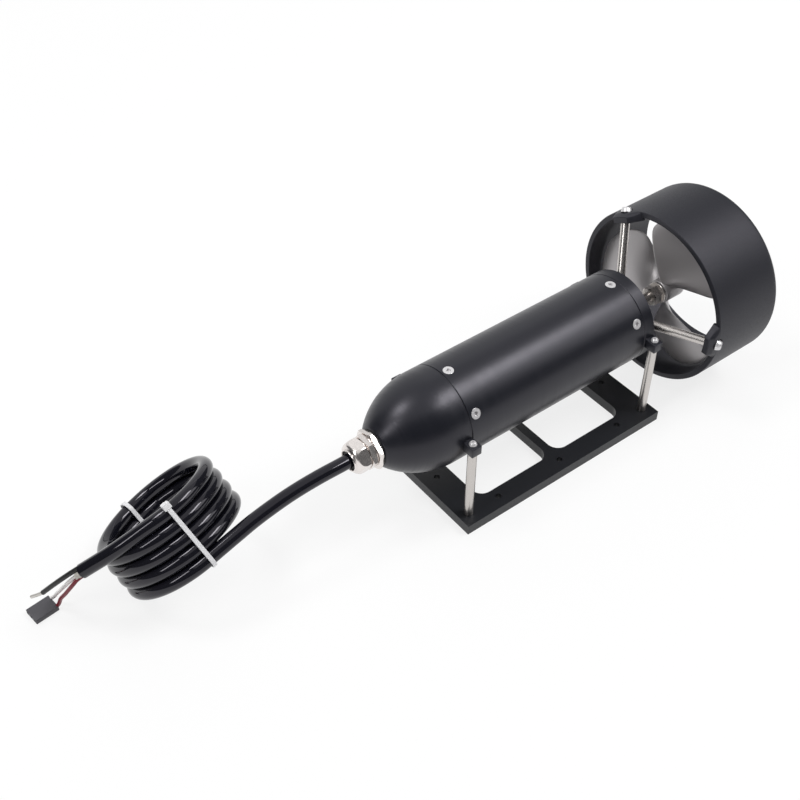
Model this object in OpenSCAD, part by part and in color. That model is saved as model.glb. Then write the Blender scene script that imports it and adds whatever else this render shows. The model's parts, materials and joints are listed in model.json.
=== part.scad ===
// Ducted underwater thruster on a base plate, with its coiled lead.
// Millimetres. The origin is the centre of the base plate's underside.
// +X runs aft along the shaft to the propeller, +Z is up, -Y faces the viewer.

/* [Base plate] */
// Thickness of the base plate
plate_t = 5; // [4:0.5:8]
// Length of the plate beyond the posts
plate_end = 5; // [4:0.5:12]
// Width of the plate beyond the posts
plate_edge = 6; // [5:0.5:12]
// Width of the bars at the ends of the plate
end_bar = 14.3; // [12:0.1:18]
// Width of the rails beside the windows
rail_w = 9.8; // [8.5:0.1:12]
// Width of the web between the windows
web_w = 4.3; // [3:0.1:8]
// Corner radius of the windows
window_r = 5.5; // [2:0.1:10]
// Diameter of the fixing holes in the plate
fix_hole_d = 2.6; // [2.2:0.1:3.4]
// Distance of the corner fixing holes from the plate's ends
fix_in = 21.25; // [18:0.25:30]
// Distance of the side fixing holes from the plate's long edges
fix_edge = 5.5; // [4:0.1:6.5]

/* [Posts and lugs] */
// Height of the shaft axis above the plate's underside
axis_h = 45; // [42:0.5:60]
// Diameter of the posts
post_d = 4; // [3.5:0.1:5]
// Distance of the posts from the tube's side
post_out = 3; // [2.6:0.1:5]
// Length of the lugs along the body
lug_l = 5; // [4.5:0.1:5.6]
// Height of the lugs
lug_h = 4.5; // [4:0.1:7]
// Height of the lugs' tops above the shaft axis
lug_rise = 1.5; // [0:0.1:2]
// Reach of the lugs beyond the posts' centres
lug_edge = 2.8; // [2.2:0.1:3.5]
// Diameter of the screws in the posts
post_screw_d = 2; // [1.6:0.1:2.2]
// Head diameter of the screws on the lugs
lug_head_d = 3.4; // [3:0.1:4]

/* [Motor housing] */
// Outer diameter of the tube
tube_d = 42; // [38:0.5:50]
// Wall of the tube
tube_wall = 2; // [1.5:0.1:2.2]
// Length of the tube
tube_l = 98; // [94:0.5:130]
// Length of the nose in front of the tube
nose_l = 34; // [30:0.5:40]
// Length of the straight band on the nose
nose_band = 6; // [5.2:0.1:9]
// Radius of the flat at the tip of the nose
nose_tip_r = 8.4; // [8:0.1:10]
// Thickness of the tail cap's flange
cap_l = 6; // [5.6:0.1:9]
// Length of the spigots that enter the tube
spigot_l = 12; // [11:0.5:14]
// Distance of the cover screws from the ends of the tube
screw_inset = 3.6; // [3:0.1:5]
// Diameter of the cover screws
screw_d = 2.5; // [2:0.1:3]
// Head diameter of the cover screws
screw_head_d = 4.7; // [4.2:0.1:5.2]
// Number of cover screws at each end
screw_count = 6; // [3:1:6]

/* [Duct and struts] */
// Axial distance from the tail cap to the front rim of the duct
duct_gap = 18.8; // [17:0.1:24]
// Length of the duct
duct_l = 38.6; // [34:0.1:50]
// Radius of the duct's bore
duct_bore_r = 38; // [36:0.1:44]
// Wall of the duct
duct_wall = 3.5; // [3.2:0.1:5]
// Rounding of the duct's rear edge
duct_round = 3; // [1:0.1:3]
// Widening of the bore at the front rim
duct_flare = 0.9; // [0.5:0.1:1.5]
// Reach of the strut ears ahead of the front rim
ear_reach = 5.4; // [4:0.1:6]
// Depth of the strut ears inside the bore
ear_in = 0.5; // [0.2:0.1:1.2]
// Width of a strut ear at the rim
ear_w = 17; // [13:1:24]
// Width of a strut ear at its front
ear_front = 9; // [8:1:12]
// Diameter of the struts
strut_d = 4; // [3:0.1:4.4]
// Slant of the struts from square to the axis
strut_a = 25.6; // [23:0.1:27]

/* [Propeller] */
// Number of blades
blade_count = 3; // [2:1:4]
// Gap between the blade tips and the duct's bore
tip_gap = 0.8; // [0.6:0.1:3]
// Pitch of the blades
blade_pitch = 44; // [36:1:52]
// Blade thickness at the hub
blade_root_t = 2.6; // [2:0.1:3]
// Blade thickness at the tip
blade_tip_t = 1.2; // [1:0.1:2]
// Length of the propeller hub
hub_l = 13; // [12:0.5:16]
// Radius of the propeller hub
hub_r = 5.6; // [5:0.1:7]
// Diameter of the shaft
shaft_d = 5; // [4:0.1:5.2]

/* [Gland and lead] */
// Width across the flats of the gland's flange
gland_flange_af = 15.4; // [15:0.1:17]
// Width across the flats of the gland's body and cap
gland_af = 13.6; // [13.4:0.1:14.6]
// Diameter of the lead
cable_d = 6; // [5:0.1:6.1]

/* [Hidden] */
$fn = 64;

black = "#17181b";
steel = "#c9c8c6";
nickel = "#d6d2cc";
rubber = "#0c0c0d";

// Clearance between pieces that are fixed together, and round the turning shaft
fit = 0.05;
run_gap = 0.05;
free_gap = 0.5;

// Stations along the axis, and radii of the housing
tube_r = tube_d / 2;
bore_r = tube_r - tube_wall;
spigot_r = bore_r - fit;
tube_x0 = -(tube_l + cap_l / 2 - lug_l / 2) / 2;
tube_x1 = tube_x0 + tube_l;
nose_x0 = tube_x0 - nose_l;
band_x = tube_x0 - nose_band;
cap_x1 = tube_x1 + cap_l;
ogive_run = band_x - nose_x0;
ogive_drop = tube_r - nose_tip_r;
ogive_r = (ogive_run * ogive_run + ogive_drop * ogive_drop) / (2 * ogive_drop);
shell_t = 3.5;
cavity_r = spigot_r - 4;

// Posts stand under the lugs, which grow from the nose and from the tail cap
post_front_x = tube_x0 - lug_l / 2;
post_rear_x = tube_x1 + cap_l / 2;
post_y = tube_r + post_out;
lug_root = 3;
lug_top = axis_h + lug_rise;
lug_bottom = lug_top - lug_h;
post_l = lug_bottom - plate_t;
thread_grip = 6;
post_screw_l = plate_t + thread_grip;
lug_screw_l = lug_h + thread_grip;
lug_head_h = 1.4;
plate_head_d = 3.8;

// The plate reaches round the posts, and its windows lie between them
plate_l = 2 * (post_rear_x + plate_end);
plate_w = 2 * (post_y + plate_edge);
window_l = (plate_l - web_w) / 2 - end_bar;
window_w = plate_w - 2 * rail_w;
fix_x = plate_l / 2 - fix_in;
fix_y = plate_w / 2 - fix_edge;
fix_end_x = plate_l / 2 - end_bar / 2;

// Cover screws and their seals
screw_l = 5.2;
screw_start = 30;
screw_sink = 0.2;
ring_t = 1.5;
groove_w = 2.2;
ring_r = bore_r - ring_t / 2 - fit;
groove_r = ring_r - ring_t / 2 - fit;
ring_inset = spigot_l - 3.5;

// Motor, from its front end bell to the tail cap's spigot
bell_r = bore_r - 0.6;
bell_t = 7;
bearing_w = 5;
bearing_r = 8;
can_t = 1.4;
can_r = bell_r - can_t;
rear_bell_x1 = tube_x1 - spigot_l;
rear_bell_x0 = rear_bell_x1 - bell_t + 1;
can_l = 40.5;
can_x0 = rear_bell_x0 - can_l;
front_bell_x0 = can_x0 - bell_t;
slot_count = 12;
tooth_r = can_r * 0.565;
slot_r0 = can_r * 0.635;
slot_r1 = can_r * 0.79;
tooth_w = can_r * 0.153;
slot_mouth = can_r * 0.07;
slot_lining = 0.15;
core_l = 24;
core_x0 = can_x0 + (can_l - core_l) / 2;
end_turn = 4;
air_gap = 0.7;
magnet_r = tooth_r - air_gap;
rotor_r = magnet_r * 0.62;
shaft_r = shaft_d / 2;
motor_screw_d = 3;
motor_screw_head_d = 5.5;
motor_screw_r = bell_r * 0.83;
motor_screw_l = cap_l + spigot_l + 4;

// Controller on its tray, in front of the motor
tray_t = 1.5;
tray_l = 34;
tray_drop = 3;
tray_gap = 0.7;
tray_low = tray_drop + tray_t;
tray_w = 2 * sqrt(pow(cavity_r - tray_gap, 2) - tray_low * tray_low);
tray_flange_r = cavity_r * 0.67;
tray_flange_t = 2;
board_w = tray_w - 3;
board_l = tray_l - 2;
board_t = 1.6;
chip_t = 1.8;
capacitor_l = 7;

// Rear boss of the tail cap: a cone square to the struts
boss_r = 12.4;
boss_l = 5.2;
boss_end_r = boss_r - boss_l * tan(strut_a);
seal_r = 5.5;
seal_w = 4;
seal_x1 = cap_x1 + boss_l - 0.3;
seal_x0 = seal_x1 - 2 * seal_w - 0.2;

// Struts, measured along their own slanted centre lines from the shaft axis
strut_x0 = cap_x1 - 1.6;
strut_angles = [60, 180, 300];
strut_s0 = 8.6;
duct_x0 = cap_x1 + duct_gap;
duct_x1 = duct_x0 + duct_l;
duct_r = duct_bore_r + duct_wall;
flare_l = 5;
ear_x0 = duct_x0 - ear_reach;
ear_x1 = duct_x0 + 1.2;
ear_r = duct_bore_r - ear_in;
ear_chamfer = 1.2;
strut_grip = 1.3;
strut_s1 = (ear_r + strut_grip) / cos(strut_a);
duct_screw_d = 2.5;
screw_seat_in = 0.5;
duct_screw_seat = (duct_r - screw_seat_in) / cos(strut_a);
duct_screw_head_d = 5;
duct_screw_head_h = 2.3;
duct_screw_l = 8;

// Propeller: the blades are helical, with the leading edge towards the motor
hub_inset = 5.65;
hub_x0 = duct_x0 + hub_inset;
hub_x1 = hub_x0 + hub_l;
collar_l = 6;
collar_x0 = hub_x0 - collar_l;
collar_af = 8;
flange_t = 1;
nut_l = 5;
shaft_x0 = front_bell_x0 + bell_t - bearing_w + 0.5;
shaft_x1 = hub_x1 + nut_l + 1;
blade_set = 3.4;
blade_mid_x = hub_x0 + blade_set;
blade_tip_r = duct_bore_r - tip_gap;
blade_start = 120;
blade_lead = 46;
blade_trail = 44;
blade_rows = 12;
blade_cols = 14;
blade_edge_t = 0.6;

// Gland, from the flat at the tip of the nose outwards
washer_t = 0.7;
flange_x = nose_x0 - washer_t;
flange_l = 2;
gland_hex_x = flange_x - flange_l;
gland_hex_l = 2.9;
gland_stub_x = gland_hex_x - gland_hex_l;
cap_clear = 0.2;
gland_turn = 14.5;
gland_cap_x1 = gland_stub_x - cap_clear;
gland_cap_l = 6.8;
gland_cap_x0 = gland_cap_x1 - gland_cap_l;
gland_stub_l = 3.6;
gland_thread_r = 6;
gland_thread_l = 7;
insert_r = 5;
cable_r = cable_d / 2;
cable_bore_r = cable_r + fit;
mouth_r = cable_r + 1.3;
lip_t = 0.8;

// The lead leaves the gland, sags to the coil, winds four turns and ends beside it
coil_turns = 4;
coil_r = 25.5;
coil_pitch = cable_d + fit;
coil_low = coil_pitch / 2;
coil_high = coil_pitch * (coil_turns - 0.4);
coil_tilt = 39.7;
coil_turn = 114.1;
coil_base = [-159.6, 20.1, 18.3];
coil_in = 30;
lead_route = [[-78, 0, 45], [-88, 0, 45], [-100, 0, 45], [-108, 0.3, 44.7], [-116, 0.6, 44],
    [-124, 0.9, 42.8], [-132, 1, 41.2], [-140, 0.9, 39.4], [-148, 0.5, 37.3], [-156, 0.1, 35.1]];
end_route = [[-178.5, 15.2, 47.9], [-186.2, 17.6, 43.1], [-193.1, 20.7, 38], [-201.1, 25.2, 31.5]];
lead_sides = 8;
cable_sides = 10;
power_lead_d = 2;
signal_lead_d = 1.6;

// Connector on the floor, and the leads that run to it
connector_size = [10.3, 7.6, 2.4];
connector_at = [-215.9, 42, 0];
connector_turn = 6.3;
pin_pitch = 2.54;
socket_side = 1.2;
socket_l = 6;
lead_hole_l = 2;
lead_hole_d = signal_lead_d + 0.4;

// A place behind the connector, in line with its pin k
function lead_in(k, behind) = connector_at + [
    (connector_size[0] / 2 + behind) * cos(connector_turn) - k * pin_pitch * sin(connector_turn),
    (connector_size[0] / 2 + behind) * sin(connector_turn) + k * pin_pitch * cos(connector_turn),
    connector_size[2] / 2];

black_route = [[-201.2, 26.8, 32.2], [-205.6, 29, 28.9], [-210.2, 32.2, 24], [-215, 36, 18],
    [-218.6, 40.6, 13.4]];
red_route = [[-201.5, 23.9, 30.5], [-203.8, 25.2, 28.3], [-206, 27.2, 24.2], [-207.8, 32, 17.3],
    [-208.7, 36.3, 9.5], [-208.7, 39.2, 4], [-208.8, 40.1, 2], lead_in(-1, 0.8), lead_in(-1, -0.6)];
white_route = [[-200.6, 25.6, 30.7], [-203.2, 27, 28.4], [-205.7, 29, 25], [-207.3, 34.4, 17],
    [-208.7, 40.4, 8.3], [-209, 43.6, 3.8], [-209.2, 44.9, 2], lead_in(1, 0.8), lead_in(1, -0.6)];

// Ties round the coil
tie_w = 1.8;
tie_t = 0.6;
tie_slack = 0.3;
tie_head = [2.8, 2.6, 3.2];
near_tie_at = 22;
far_tie_at = 190;

// Frames of reference

// Local z along the shaft, from the station x
module on_axis(x = 0) {
    translate([x, 0, axis_h])
        rotate([0, 90, 0])
            children();
}

// Turn a profile of radius and station about the shaft
module turned() {
    on_axis()
        rotate_extrude()
            children();
}

// Local z outwards from the shaft at the station x, t degrees round from +Y
module radial(x, t) {
    translate([0, 0, axis_h])
        rotate([t, 0, 0])
            translate([x, 0, 0])
                rotate([-90, 0, 0])
                    children();
}

// Local z along a strut, from the shaft axis outwards
module along_strut(t) {
    translate([0, 0, axis_h])
        rotate([t, 0, 0])
            translate([strut_x0, 0, 0])
                rotate([0, 0, -strut_a])
                    rotate([-90, 0, 0])
                        children();
}

// Local z along the coil's own axis
module in_coil() {
    translate(coil_base)
        rotate([0, coil_tilt, coil_turn])
            children();
}

// Shapes that repeat

module band(r0, r1, x0, x1) {
    translate([r0, x0])
        square([r1 - r0, x1 - x0]);
}

module hex(af, l, turn = 0) {
    rotate(turn)
        cylinder(h = l, d = af / cos(30), $fn = 6);
}

// Countersunk screw with its head's top at z = 0 and its shank down -z
module csk_screw(d, head_d, l) {
    head_h = (head_d - d) / 2;
    translate([0, 0, -head_h])
        cylinder(h = head_h, d1 = d, d2 = head_d);
    translate([0, 0, -l])
        cylinder(h = l - head_h, d = d);
}

// The hole for that screw, open above the head
module csk_hole(d, head_d, l) {
    head_h = (head_d - d) / 2;
    translate([0, 0, -l - fit])
        cylinder(h = l + fit - head_h, d = d + 2 * fit);
    translate([0, 0, -head_h])
        cylinder(h = head_h, d1 = d + 2 * fit, d2 = head_d + 2 * fit);
    cylinder(h = 1, d = head_d + 2 * fit);
}

// Low round-headed screw standing on z = 0
module pan_screw(d, head_d, head_h, l) {
    cylinder(h = head_h, d1 = head_d, d2 = head_d * 0.8);
    translate([0, 0, -l])
        cylinder(h = l, d = d);
}

function screw_angles() = [for (k = [0:screw_count - 1]) screw_start + 360 * k / screw_count];

module cover_screws(x) {
    color(steel)
        for (t = screw_angles())
            radial(x, t)
                translate([0, 0, tube_r - screw_sink])
                    csk_screw(screw_d, screw_head_d, screw_l);
}

module cover_screw_holes(x) {
    for (t = screw_angles())
        radial(x, t)
            translate([0, 0, tube_r - screw_sink])
                csk_hole(screw_d, screw_head_d, screw_l);
}

module o_ring(x) {
    color(rubber)
        turned()
            translate([ring_r, x])
                circle(ring_t / 2);
}

module groove(x) {
    turned()
        band(groove_r, tube_r, x - groove_w / 2, x + groove_w / 2);
}

// The pair of lugs over the posts at the station x
module lugs(x) {
    for (side = [-1, 1])
        translate([x - lug_l / 2, side > 0 ? tube_r - lug_root : -post_y - lug_edge, lug_bottom])
            cube([lug_l, post_out + lug_edge + lug_root, lug_h]);
}

module lug_holes(x) {
    for (side = [-1, 1])
        translate([x, side * post_y, lug_bottom - fit])
            cylinder(h = lug_h + 2 * fit, d = post_screw_d + 2 * fit);
}

module post(x, side) {
    color(steel)
        difference() {
            translate([x, side * post_y, plate_t])
                cylinder(h = post_l, d = post_d);
            translate([x, side * post_y, 0])
                cylinder(h = post_screw_l + fit, d = post_screw_d + 2 * fit);
            translate([x, side * post_y, lug_top - lug_screw_l - fit])
                cylinder(h = lug_screw_l, d = post_screw_d + 2 * fit);
        }
}

module rounded_window(x) {
    translate([x, -window_w / 2, -fit])
        linear_extrude(plate_t + 2 * fit) {
            translate([window_r, 0])
                square([window_l - 2 * window_r, window_w]);
            translate([0, window_r])
                square([window_l, window_w - 2 * window_r]);
            for (cx = [window_r, window_l - window_r], cy = [window_r, window_w - window_r])
                translate([cx, cy])
                    circle(window_r);
        }
}

// A tube of n sides swept along points, each ring square to the path
function unit(v) = v / norm(v);
function heading(p, i) = unit(p[min(i + 1, len(p) - 1)] - p[max(i - 1, 0)]);
function sideways(t) = unit(cross([0, 0, 1], t));
function ring_points(c, t, r, n) = [for (k = [0:n - 1])
    c + r * (cos(360 * k / n) * sideways(t) + sin(360 * k / n) * cross(t, sideways(t)))];

module swept_tube(p, d, n) {
    last = len(p) - 1;
    points = [for (i = [0:last]) each ring_points(p[i], heading(p, i), d / 2, n)];
    walls = [for (i = [0:last - 1], k = [0:n - 1])
        let (a = i * n + k, b = i * n + (k + 1) % n)
        each [[a, a + n, b + n], [a, b + n, b]]];
    start = [for (k = [0:n - 1]) k];
    end = [for (k = [n - 1:-1:0]) last * n + k];
    polyhedron(points, concat(walls, [start, end]), convexity = 4);
}

// Points of the coil, a degrees along it from its highest side
coil_axis = [sin(coil_tilt) * cos(coil_turn), sin(coil_tilt) * sin(coil_turn), cos(coil_tilt)];
coil_left = [-sin(coil_turn), cos(coil_turn), 0];
coil_up = cross(coil_axis, coil_left);
function coil_point(a) = coil_base + coil_axis * coil_pitch * a / 360
    + coil_r * (cos(a) * coil_up + sin(a) * coil_left);

// Base plate and what stands on it

module base_plate() {
    color(black)
        difference() {
            translate([-plate_l / 2, -plate_w / 2, 0])
                cube([plate_l, plate_w, plate_t]);
            rounded_window(web_w / 2);
            rounded_window(-web_w / 2 - window_l);
            for (x = [-fix_x, 0, fix_x], y = [-fix_y, fix_y])
                translate([x, y, -fit])
                    cylinder(h = plate_t + 2 * fit, d = fix_hole_d);
            for (x = [-fix_end_x, fix_end_x])
                translate([x, 0, -fit])
                    cylinder(h = plate_t + 2 * fit, d = fix_hole_d);
            for (x = [post_front_x, post_rear_x], y = [-post_y, post_y])
                translate([x, y, 0])
                    rotate([180, 0, 0])
                        csk_hole(post_screw_d, plate_head_d, post_screw_l);
        }
}

module post_front_near() post(post_front_x, -1);
module post_front_far() post(post_front_x, 1);
module post_rear_near() post(post_rear_x, -1);
module post_rear_far() post(post_rear_x, 1);

module plate_screws() {
    color(steel)
        for (x = [post_front_x, post_rear_x], y = [-post_y, post_y])
            translate([x, y, 0])
                rotate([180, 0, 0])
                    csk_screw(post_screw_d, plate_head_d, post_screw_l);
}

module lug_screws() {
    color(steel)
        for (x = [post_front_x, post_rear_x], y = [-post_y, post_y])
            translate([x, y, lug_top])
                pan_screw(post_screw_d, lug_head_d, lug_head_h, lug_screw_l);
}

// Housing

module nose_cone() {
    color(black)
        difference() {
            union() {
                turned() {
                    band(0, tube_r, band_x, tube_x0);
                    band(0, spigot_r, tube_x0, tube_x0 + spigot_l);
                    intersection() {
                        translate([tube_r - ogive_r, band_x])
                            circle(ogive_r, $fn = 128);
                        band(0, tube_r, nose_x0, band_x);
                    }
                }
                lugs(post_front_x);
            }
            turned() {
                band(0, cavity_r, band_x, tube_x0 + spigot_l);
                intersection() {
                    translate([tube_r - ogive_r, band_x])
                        circle(ogive_r - shell_t, $fn = 128);
                    band(0, cavity_r, nose_x0 + gland_thread_l - 1, band_x);
                }
                band(0, gland_thread_r + fit, nose_x0, band_x);
            }
            groove(tube_x0 + ring_inset);
            cover_screw_holes(tube_x0 + screw_inset);
            lug_holes(post_front_x);
        }
}

module nose_o_ring() o_ring(tube_x0 + ring_inset);
module nose_screws() cover_screws(tube_x0 + screw_inset);
module tail_o_ring() o_ring(tube_x1 - ring_inset);
module tail_screws() cover_screws(tube_x1 - screw_inset);

module motor_tube() {
    color(black)
        difference() {
            turned()
                band(bore_r, tube_r, tube_x0, tube_x1);
            cover_screw_holes(tube_x0 + screw_inset);
            cover_screw_holes(tube_x1 - screw_inset);
        }
}

module motor_screw_places() {
    for (t = strut_angles)
        translate([0, 0, axis_h])
            rotate([t + 60, 0, 0])
                translate([cap_x1, motor_screw_r, 0])
                    rotate([0, 90, 0])
                        children();
}

module tail_cap() {
    color(black)
        difference() {
            union() {
                turned() {
                    band(0, spigot_r, tube_x1 - spigot_l, tube_x1);
                    band(0, tube_r, tube_x1, cap_x1);
                    polygon([[0, cap_x1], [boss_r, cap_x1], [boss_end_r, cap_x1 + boss_l],
                        [0, cap_x1 + boss_l]]);
                }
                lugs(post_rear_x);
            }
            turned() {
                band(0, shaft_r + free_gap, tube_x1 - spigot_l, cap_x1 + boss_l);
                band(0, seal_r + fit, seal_x0, cap_x1 + boss_l);
            }
            for (t = strut_angles)
                along_strut(t)
                    translate([0, 0, strut_s0])
                        cylinder(h = strut_s1 - strut_s0, d = strut_d + 2 * fit);
            motor_screw_places()
                csk_hole(motor_screw_d, motor_screw_head_d, motor_screw_l);
            groove(tube_x1 - ring_inset);
            cover_screw_holes(tube_x1 - screw_inset);
            lug_holes(post_rear_x);
        }
}

module shaft_seal(x) {
    color(rubber)
        turned()
            difference() {
                band(shaft_r + run_gap, seal_r, x, x + seal_w);
                polygon([[shaft_r + 0.8, x + seal_w], [seal_r - 1, x + seal_w],
                    [shaft_r + 1.4, x + 1.4]]);
            }
}

module inner_shaft_seal() shaft_seal(seal_x0);
module outer_shaft_seal() shaft_seal(seal_x1 - seal_w);

// Motor

module front_end_bell() {
    color("silver")
        turned()
            difference() {
                band(0, bell_r, front_bell_x0, can_x0);
                band(0, bearing_r + fit, can_x0 - bearing_w, can_x0);
            }
}

module rear_end_bell() {
    color("silver")
        difference() {
            turned()
                difference() {
                    band(shaft_r + free_gap, bell_r, rear_bell_x0, rear_bell_x1);
                    band(0, bearing_r + fit, rear_bell_x1 - bearing_w, rear_bell_x1);
                }
            motor_screw_places()
                csk_hole(motor_screw_d, motor_screw_head_d, motor_screw_l);
        }
}

module motor_screws() {
    color(steel)
        motor_screw_places()
            csk_screw(motor_screw_d, motor_screw_head_d, motor_screw_l);
}

module stator_sleeve() {
    color("dimgray")
        turned()
            band(can_r, bell_r, can_x0, rear_bell_x0);
}

// One winding slot between two teeth, narrowed all round by gap
module slot(gap) {
    half0 = PI * slot_r0 / slot_count - tooth_w / 2 - gap;
    half1 = PI * slot_r1 / slot_count - tooth_w / 2 - gap;
    polygon([[slot_r0 + gap, -half0], [slot_r1 - gap, -half1], [slot_r1 - gap, half1],
        [slot_r0 + gap, half0]]);
}

module stator_core() {
    color("slategray")
        on_axis(core_x0)
            linear_extrude(core_l)
                difference() {
                    circle(can_r - fit);
                    circle(tooth_r);
                    for (k = [0:slot_count - 1])
                        rotate(360 * k / slot_count) {
                            slot(0);
                            translate([tooth_r - slot_mouth, -slot_mouth / 2])
                                square([slot_r0 - tooth_r + 1.3 * slot_mouth, slot_mouth]);
                        }
                }
}

module stator_windings() {
    color("#b5652b")
        union() {
            on_axis(core_x0 - end_turn)
                linear_extrude(core_l + 2 * end_turn)
                    for (k = [0:slot_count - 1])
                        rotate(360 * k / slot_count)
                            slot(slot_lining);
            turned() {
                band(slot_r0 + slot_lining, slot_r1 - slot_lining, core_x0 - end_turn, core_x0 - 0.3);
                band(slot_r0 + slot_lining, slot_r1 - slot_lining, core_x0 + core_l + 0.3,
                    core_x0 + core_l + end_turn);
            }
        }
}

module bearing(x) {
    color(steel)
        turned()
            difference() {
                band(shaft_r + run_gap, bearing_r, x, x + bearing_w);
                band(shaft_r + 1.4, bearing_r - 1.4, x, x + 0.4);
                band(shaft_r + 1.4, bearing_r - 1.4, x + bearing_w - 0.4, x + bearing_w);
            }
}

module front_bearing() bearing(can_x0 - bearing_w);
module rear_bearing() bearing(rear_bell_x1 - bearing_w);

module motor_shaft() {
    color(steel)
        on_axis(shaft_x0)
            cylinder(h = shaft_x1 - shaft_x0, r = shaft_r);
}

module rotor_core() {
    color("gray")
        turned()
            band(shaft_r + fit, rotor_r, core_x0, core_x0 + core_l);
}

module rotor_magnet() {
    color("#4a4a4e")
        turned()
            band(rotor_r + fit, magnet_r, core_x0, core_x0 + core_l);
}

// Controller

module controller_tray() {
    color("silver") {
        on_axis(front_bell_x0 - tray_flange_t)
            cylinder(h = tray_flange_t, r = tray_flange_r);
        translate([front_bell_x0 - tray_flange_t - tray_l, -tray_w / 2, axis_h - tray_drop - tray_t])
            cube([tray_l, tray_w, tray_t]);
    }
}

module controller_board() {
    board_x = front_bell_x0 - tray_flange_t - tray_l + 1;
    board_z = axis_h - tray_drop;
    color("darkgreen")
        translate([board_x, -board_w / 2, board_z])
            cube([board_l, board_w, board_t]);
    color("#202020")
        translate([board_x, 0, board_z + board_t]) {
            for (u = [0.12, 0.34, 0.56], v = [-0.33, 0.08])
                translate([u * board_l, v * board_w, 0])
                    cube([0.17 * board_l, 0.25 * board_w, chip_t]);
            translate([0.86 * board_l, 0, 0])
                cylinder(h = capacitor_l, d = 0.26 * board_w);
        }
}

// Propeller

module drive_collar() {
    color(steel)
        difference() {
            union() {
                on_axis(collar_x0)
                    hex(collar_af, collar_l - flange_t);
                on_axis(hub_x0 - flange_t)
                    cylinder(h = flange_t, r = hub_r - 0.4);
            }
            on_axis(collar_x0 - fit)
                cylinder(h = collar_l + 2 * fit, r = shaft_r + fit);
        }
}

// Blade edges in degrees from the blade's middle, and thickness, at the radius r
function blade_share(r) = (r - hub_r) / (blade_tip_r - hub_r);
function lead_angle(r) = -blade_lead * (1 - 0.48 * exp(-4.5 * blade_share(r))) + 9 * pow(blade_share(r), 10);
function trail_angle(r) = blade_trail - 38 * pow(max(0, (blade_share(r) - 0.45) / 0.55), 3);
function blade_t(r, v) = blade_edge_t
    + (blade_root_t + (blade_tip_t - blade_root_t) * max(0, blade_share(r)) - blade_edge_t)
    * (1 - pow(2 * v - 1, 2));
function blade_point(r, v, face) =
    let (a = lead_angle(r) + (trail_angle(r) - lead_angle(r)) * v)
    [blade_mid_x + blade_pitch * a / 360 + face * blade_t(r, v) / 2, r * cos(a), r * sin(a)];

// One blade, as two faces of rows along the radius, joined round the rim
module blade() {
    root_r = hub_r - 1.2;
    cells = blade_cols + 1;
    face_size = (blade_rows + 1) * cells;
    rows = [for (i = [0:blade_rows]) root_r + (blade_tip_r - root_r) * sin(90 * i / blade_rows)];
    points = [for (face = [1, -1], r = rows, j = [0:blade_cols]) blade_point(r, j / blade_cols, face)];
    front = [for (i = [0:blade_rows - 1], j = [0:blade_cols - 1]) each
        [[i * cells + j, i * cells + j + 1, (i + 1) * cells + j + 1],
         [i * cells + j, (i + 1) * cells + j + 1, (i + 1) * cells + j]]];
    back = [for (f = front) [f[0] + face_size, f[2] + face_size, f[1] + face_size]];
    rim = concat([for (j = [0:blade_cols]) j],
        [for (i = [1:blade_rows]) i * cells + blade_cols],
        [for (j = [blade_cols - 1:-1:0]) blade_rows * cells + j],
        [for (i = [blade_rows - 1:-1:1]) i * cells]);
    edge = [for (k = [0:len(rim) - 1])
        let (a = rim[k], b = rim[(k + 1) % len(rim)])
        each [[a, a + face_size, b + face_size], [a, b + face_size, b]]];
    polyhedron(points, concat(front, back, edge), convexity = 6);
}

module propeller() {
    color(steel)
        difference() {
            union() {
                turned()
                    polygon([[0, hub_x0], [hub_r, hub_x0], [hub_r, hub_x1 - 2], [hub_r - 1, hub_x1],
                        [0, hub_x1]]);
                for (k = [0:blade_count - 1])
                    translate([0, 0, axis_h])
                        rotate([blade_start + 360 * k / blade_count, 0, 0])
                            blade();
            }
            on_axis(hub_x0 - fit)
                cylinder(h = hub_l + 2 * fit, r = shaft_r + fit);
        }
}

module propeller_nut() {
    color(steel)
        difference() {
            union() {
                on_axis(hub_x1)
                    hex(collar_af, nut_l - 1.2);
                on_axis(hub_x1)
                    cylinder(h = nut_l, r = collar_af / 2 - 0.3);
            }
            on_axis(hub_x1 - fit)
                cylinder(h = nut_l + 2 * fit, r = shaft_r + fit);
        }
}

// Duct and struts

module duct() {
    color(black)
        difference() {
            union() {
                turned() {
                    polygon([[duct_bore_r + duct_flare, duct_x0], [duct_r, duct_x0],
                        [duct_r, duct_x1 - duct_round], [duct_bore_r, duct_x1 - duct_round],
                        [duct_bore_r, duct_x0 + flare_l]]);
                    band(duct_bore_r, duct_r - duct_round, duct_x1 - duct_round, duct_x1);
                    intersection() {
                        translate([duct_r - duct_round, duct_x1 - duct_round])
                            circle(duct_round);
                        band(duct_r - duct_round, duct_r, duct_x1 - duct_round, duct_x1);
                    }
                }
                intersection() {
                    turned()
                        polygon([[ear_r, ear_x0], [duct_r - ear_chamfer, ear_x0],
                            [duct_r - fit, ear_x0 + 2 * ear_chamfer], [duct_r - fit, ear_x1],
                            [ear_r, ear_x1]]);
                    for (t = strut_angles)
                        radial(0, t)
                            linear_extrude(duct_r)
                                polygon([[ear_x0, -ear_front / 2], [ear_x0, ear_front / 2],
                                    [duct_x0, ear_w / 2], [ear_x1, ear_w / 2],
                                    [ear_x1, -ear_w / 2], [duct_x0, -ear_w / 2]]);
                }
            }
            for (t = strut_angles)
                along_strut(t) {
                    cylinder(h = strut_s1 + fit, d = strut_d + 2 * fit);
                    cylinder(h = duct_screw_seat, d = duct_screw_d + 2 * fit);
                    translate([0, 0, duct_screw_seat])
                        cylinder(h = 8, d = duct_screw_head_d + 0.6);
                }
        }
}

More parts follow.
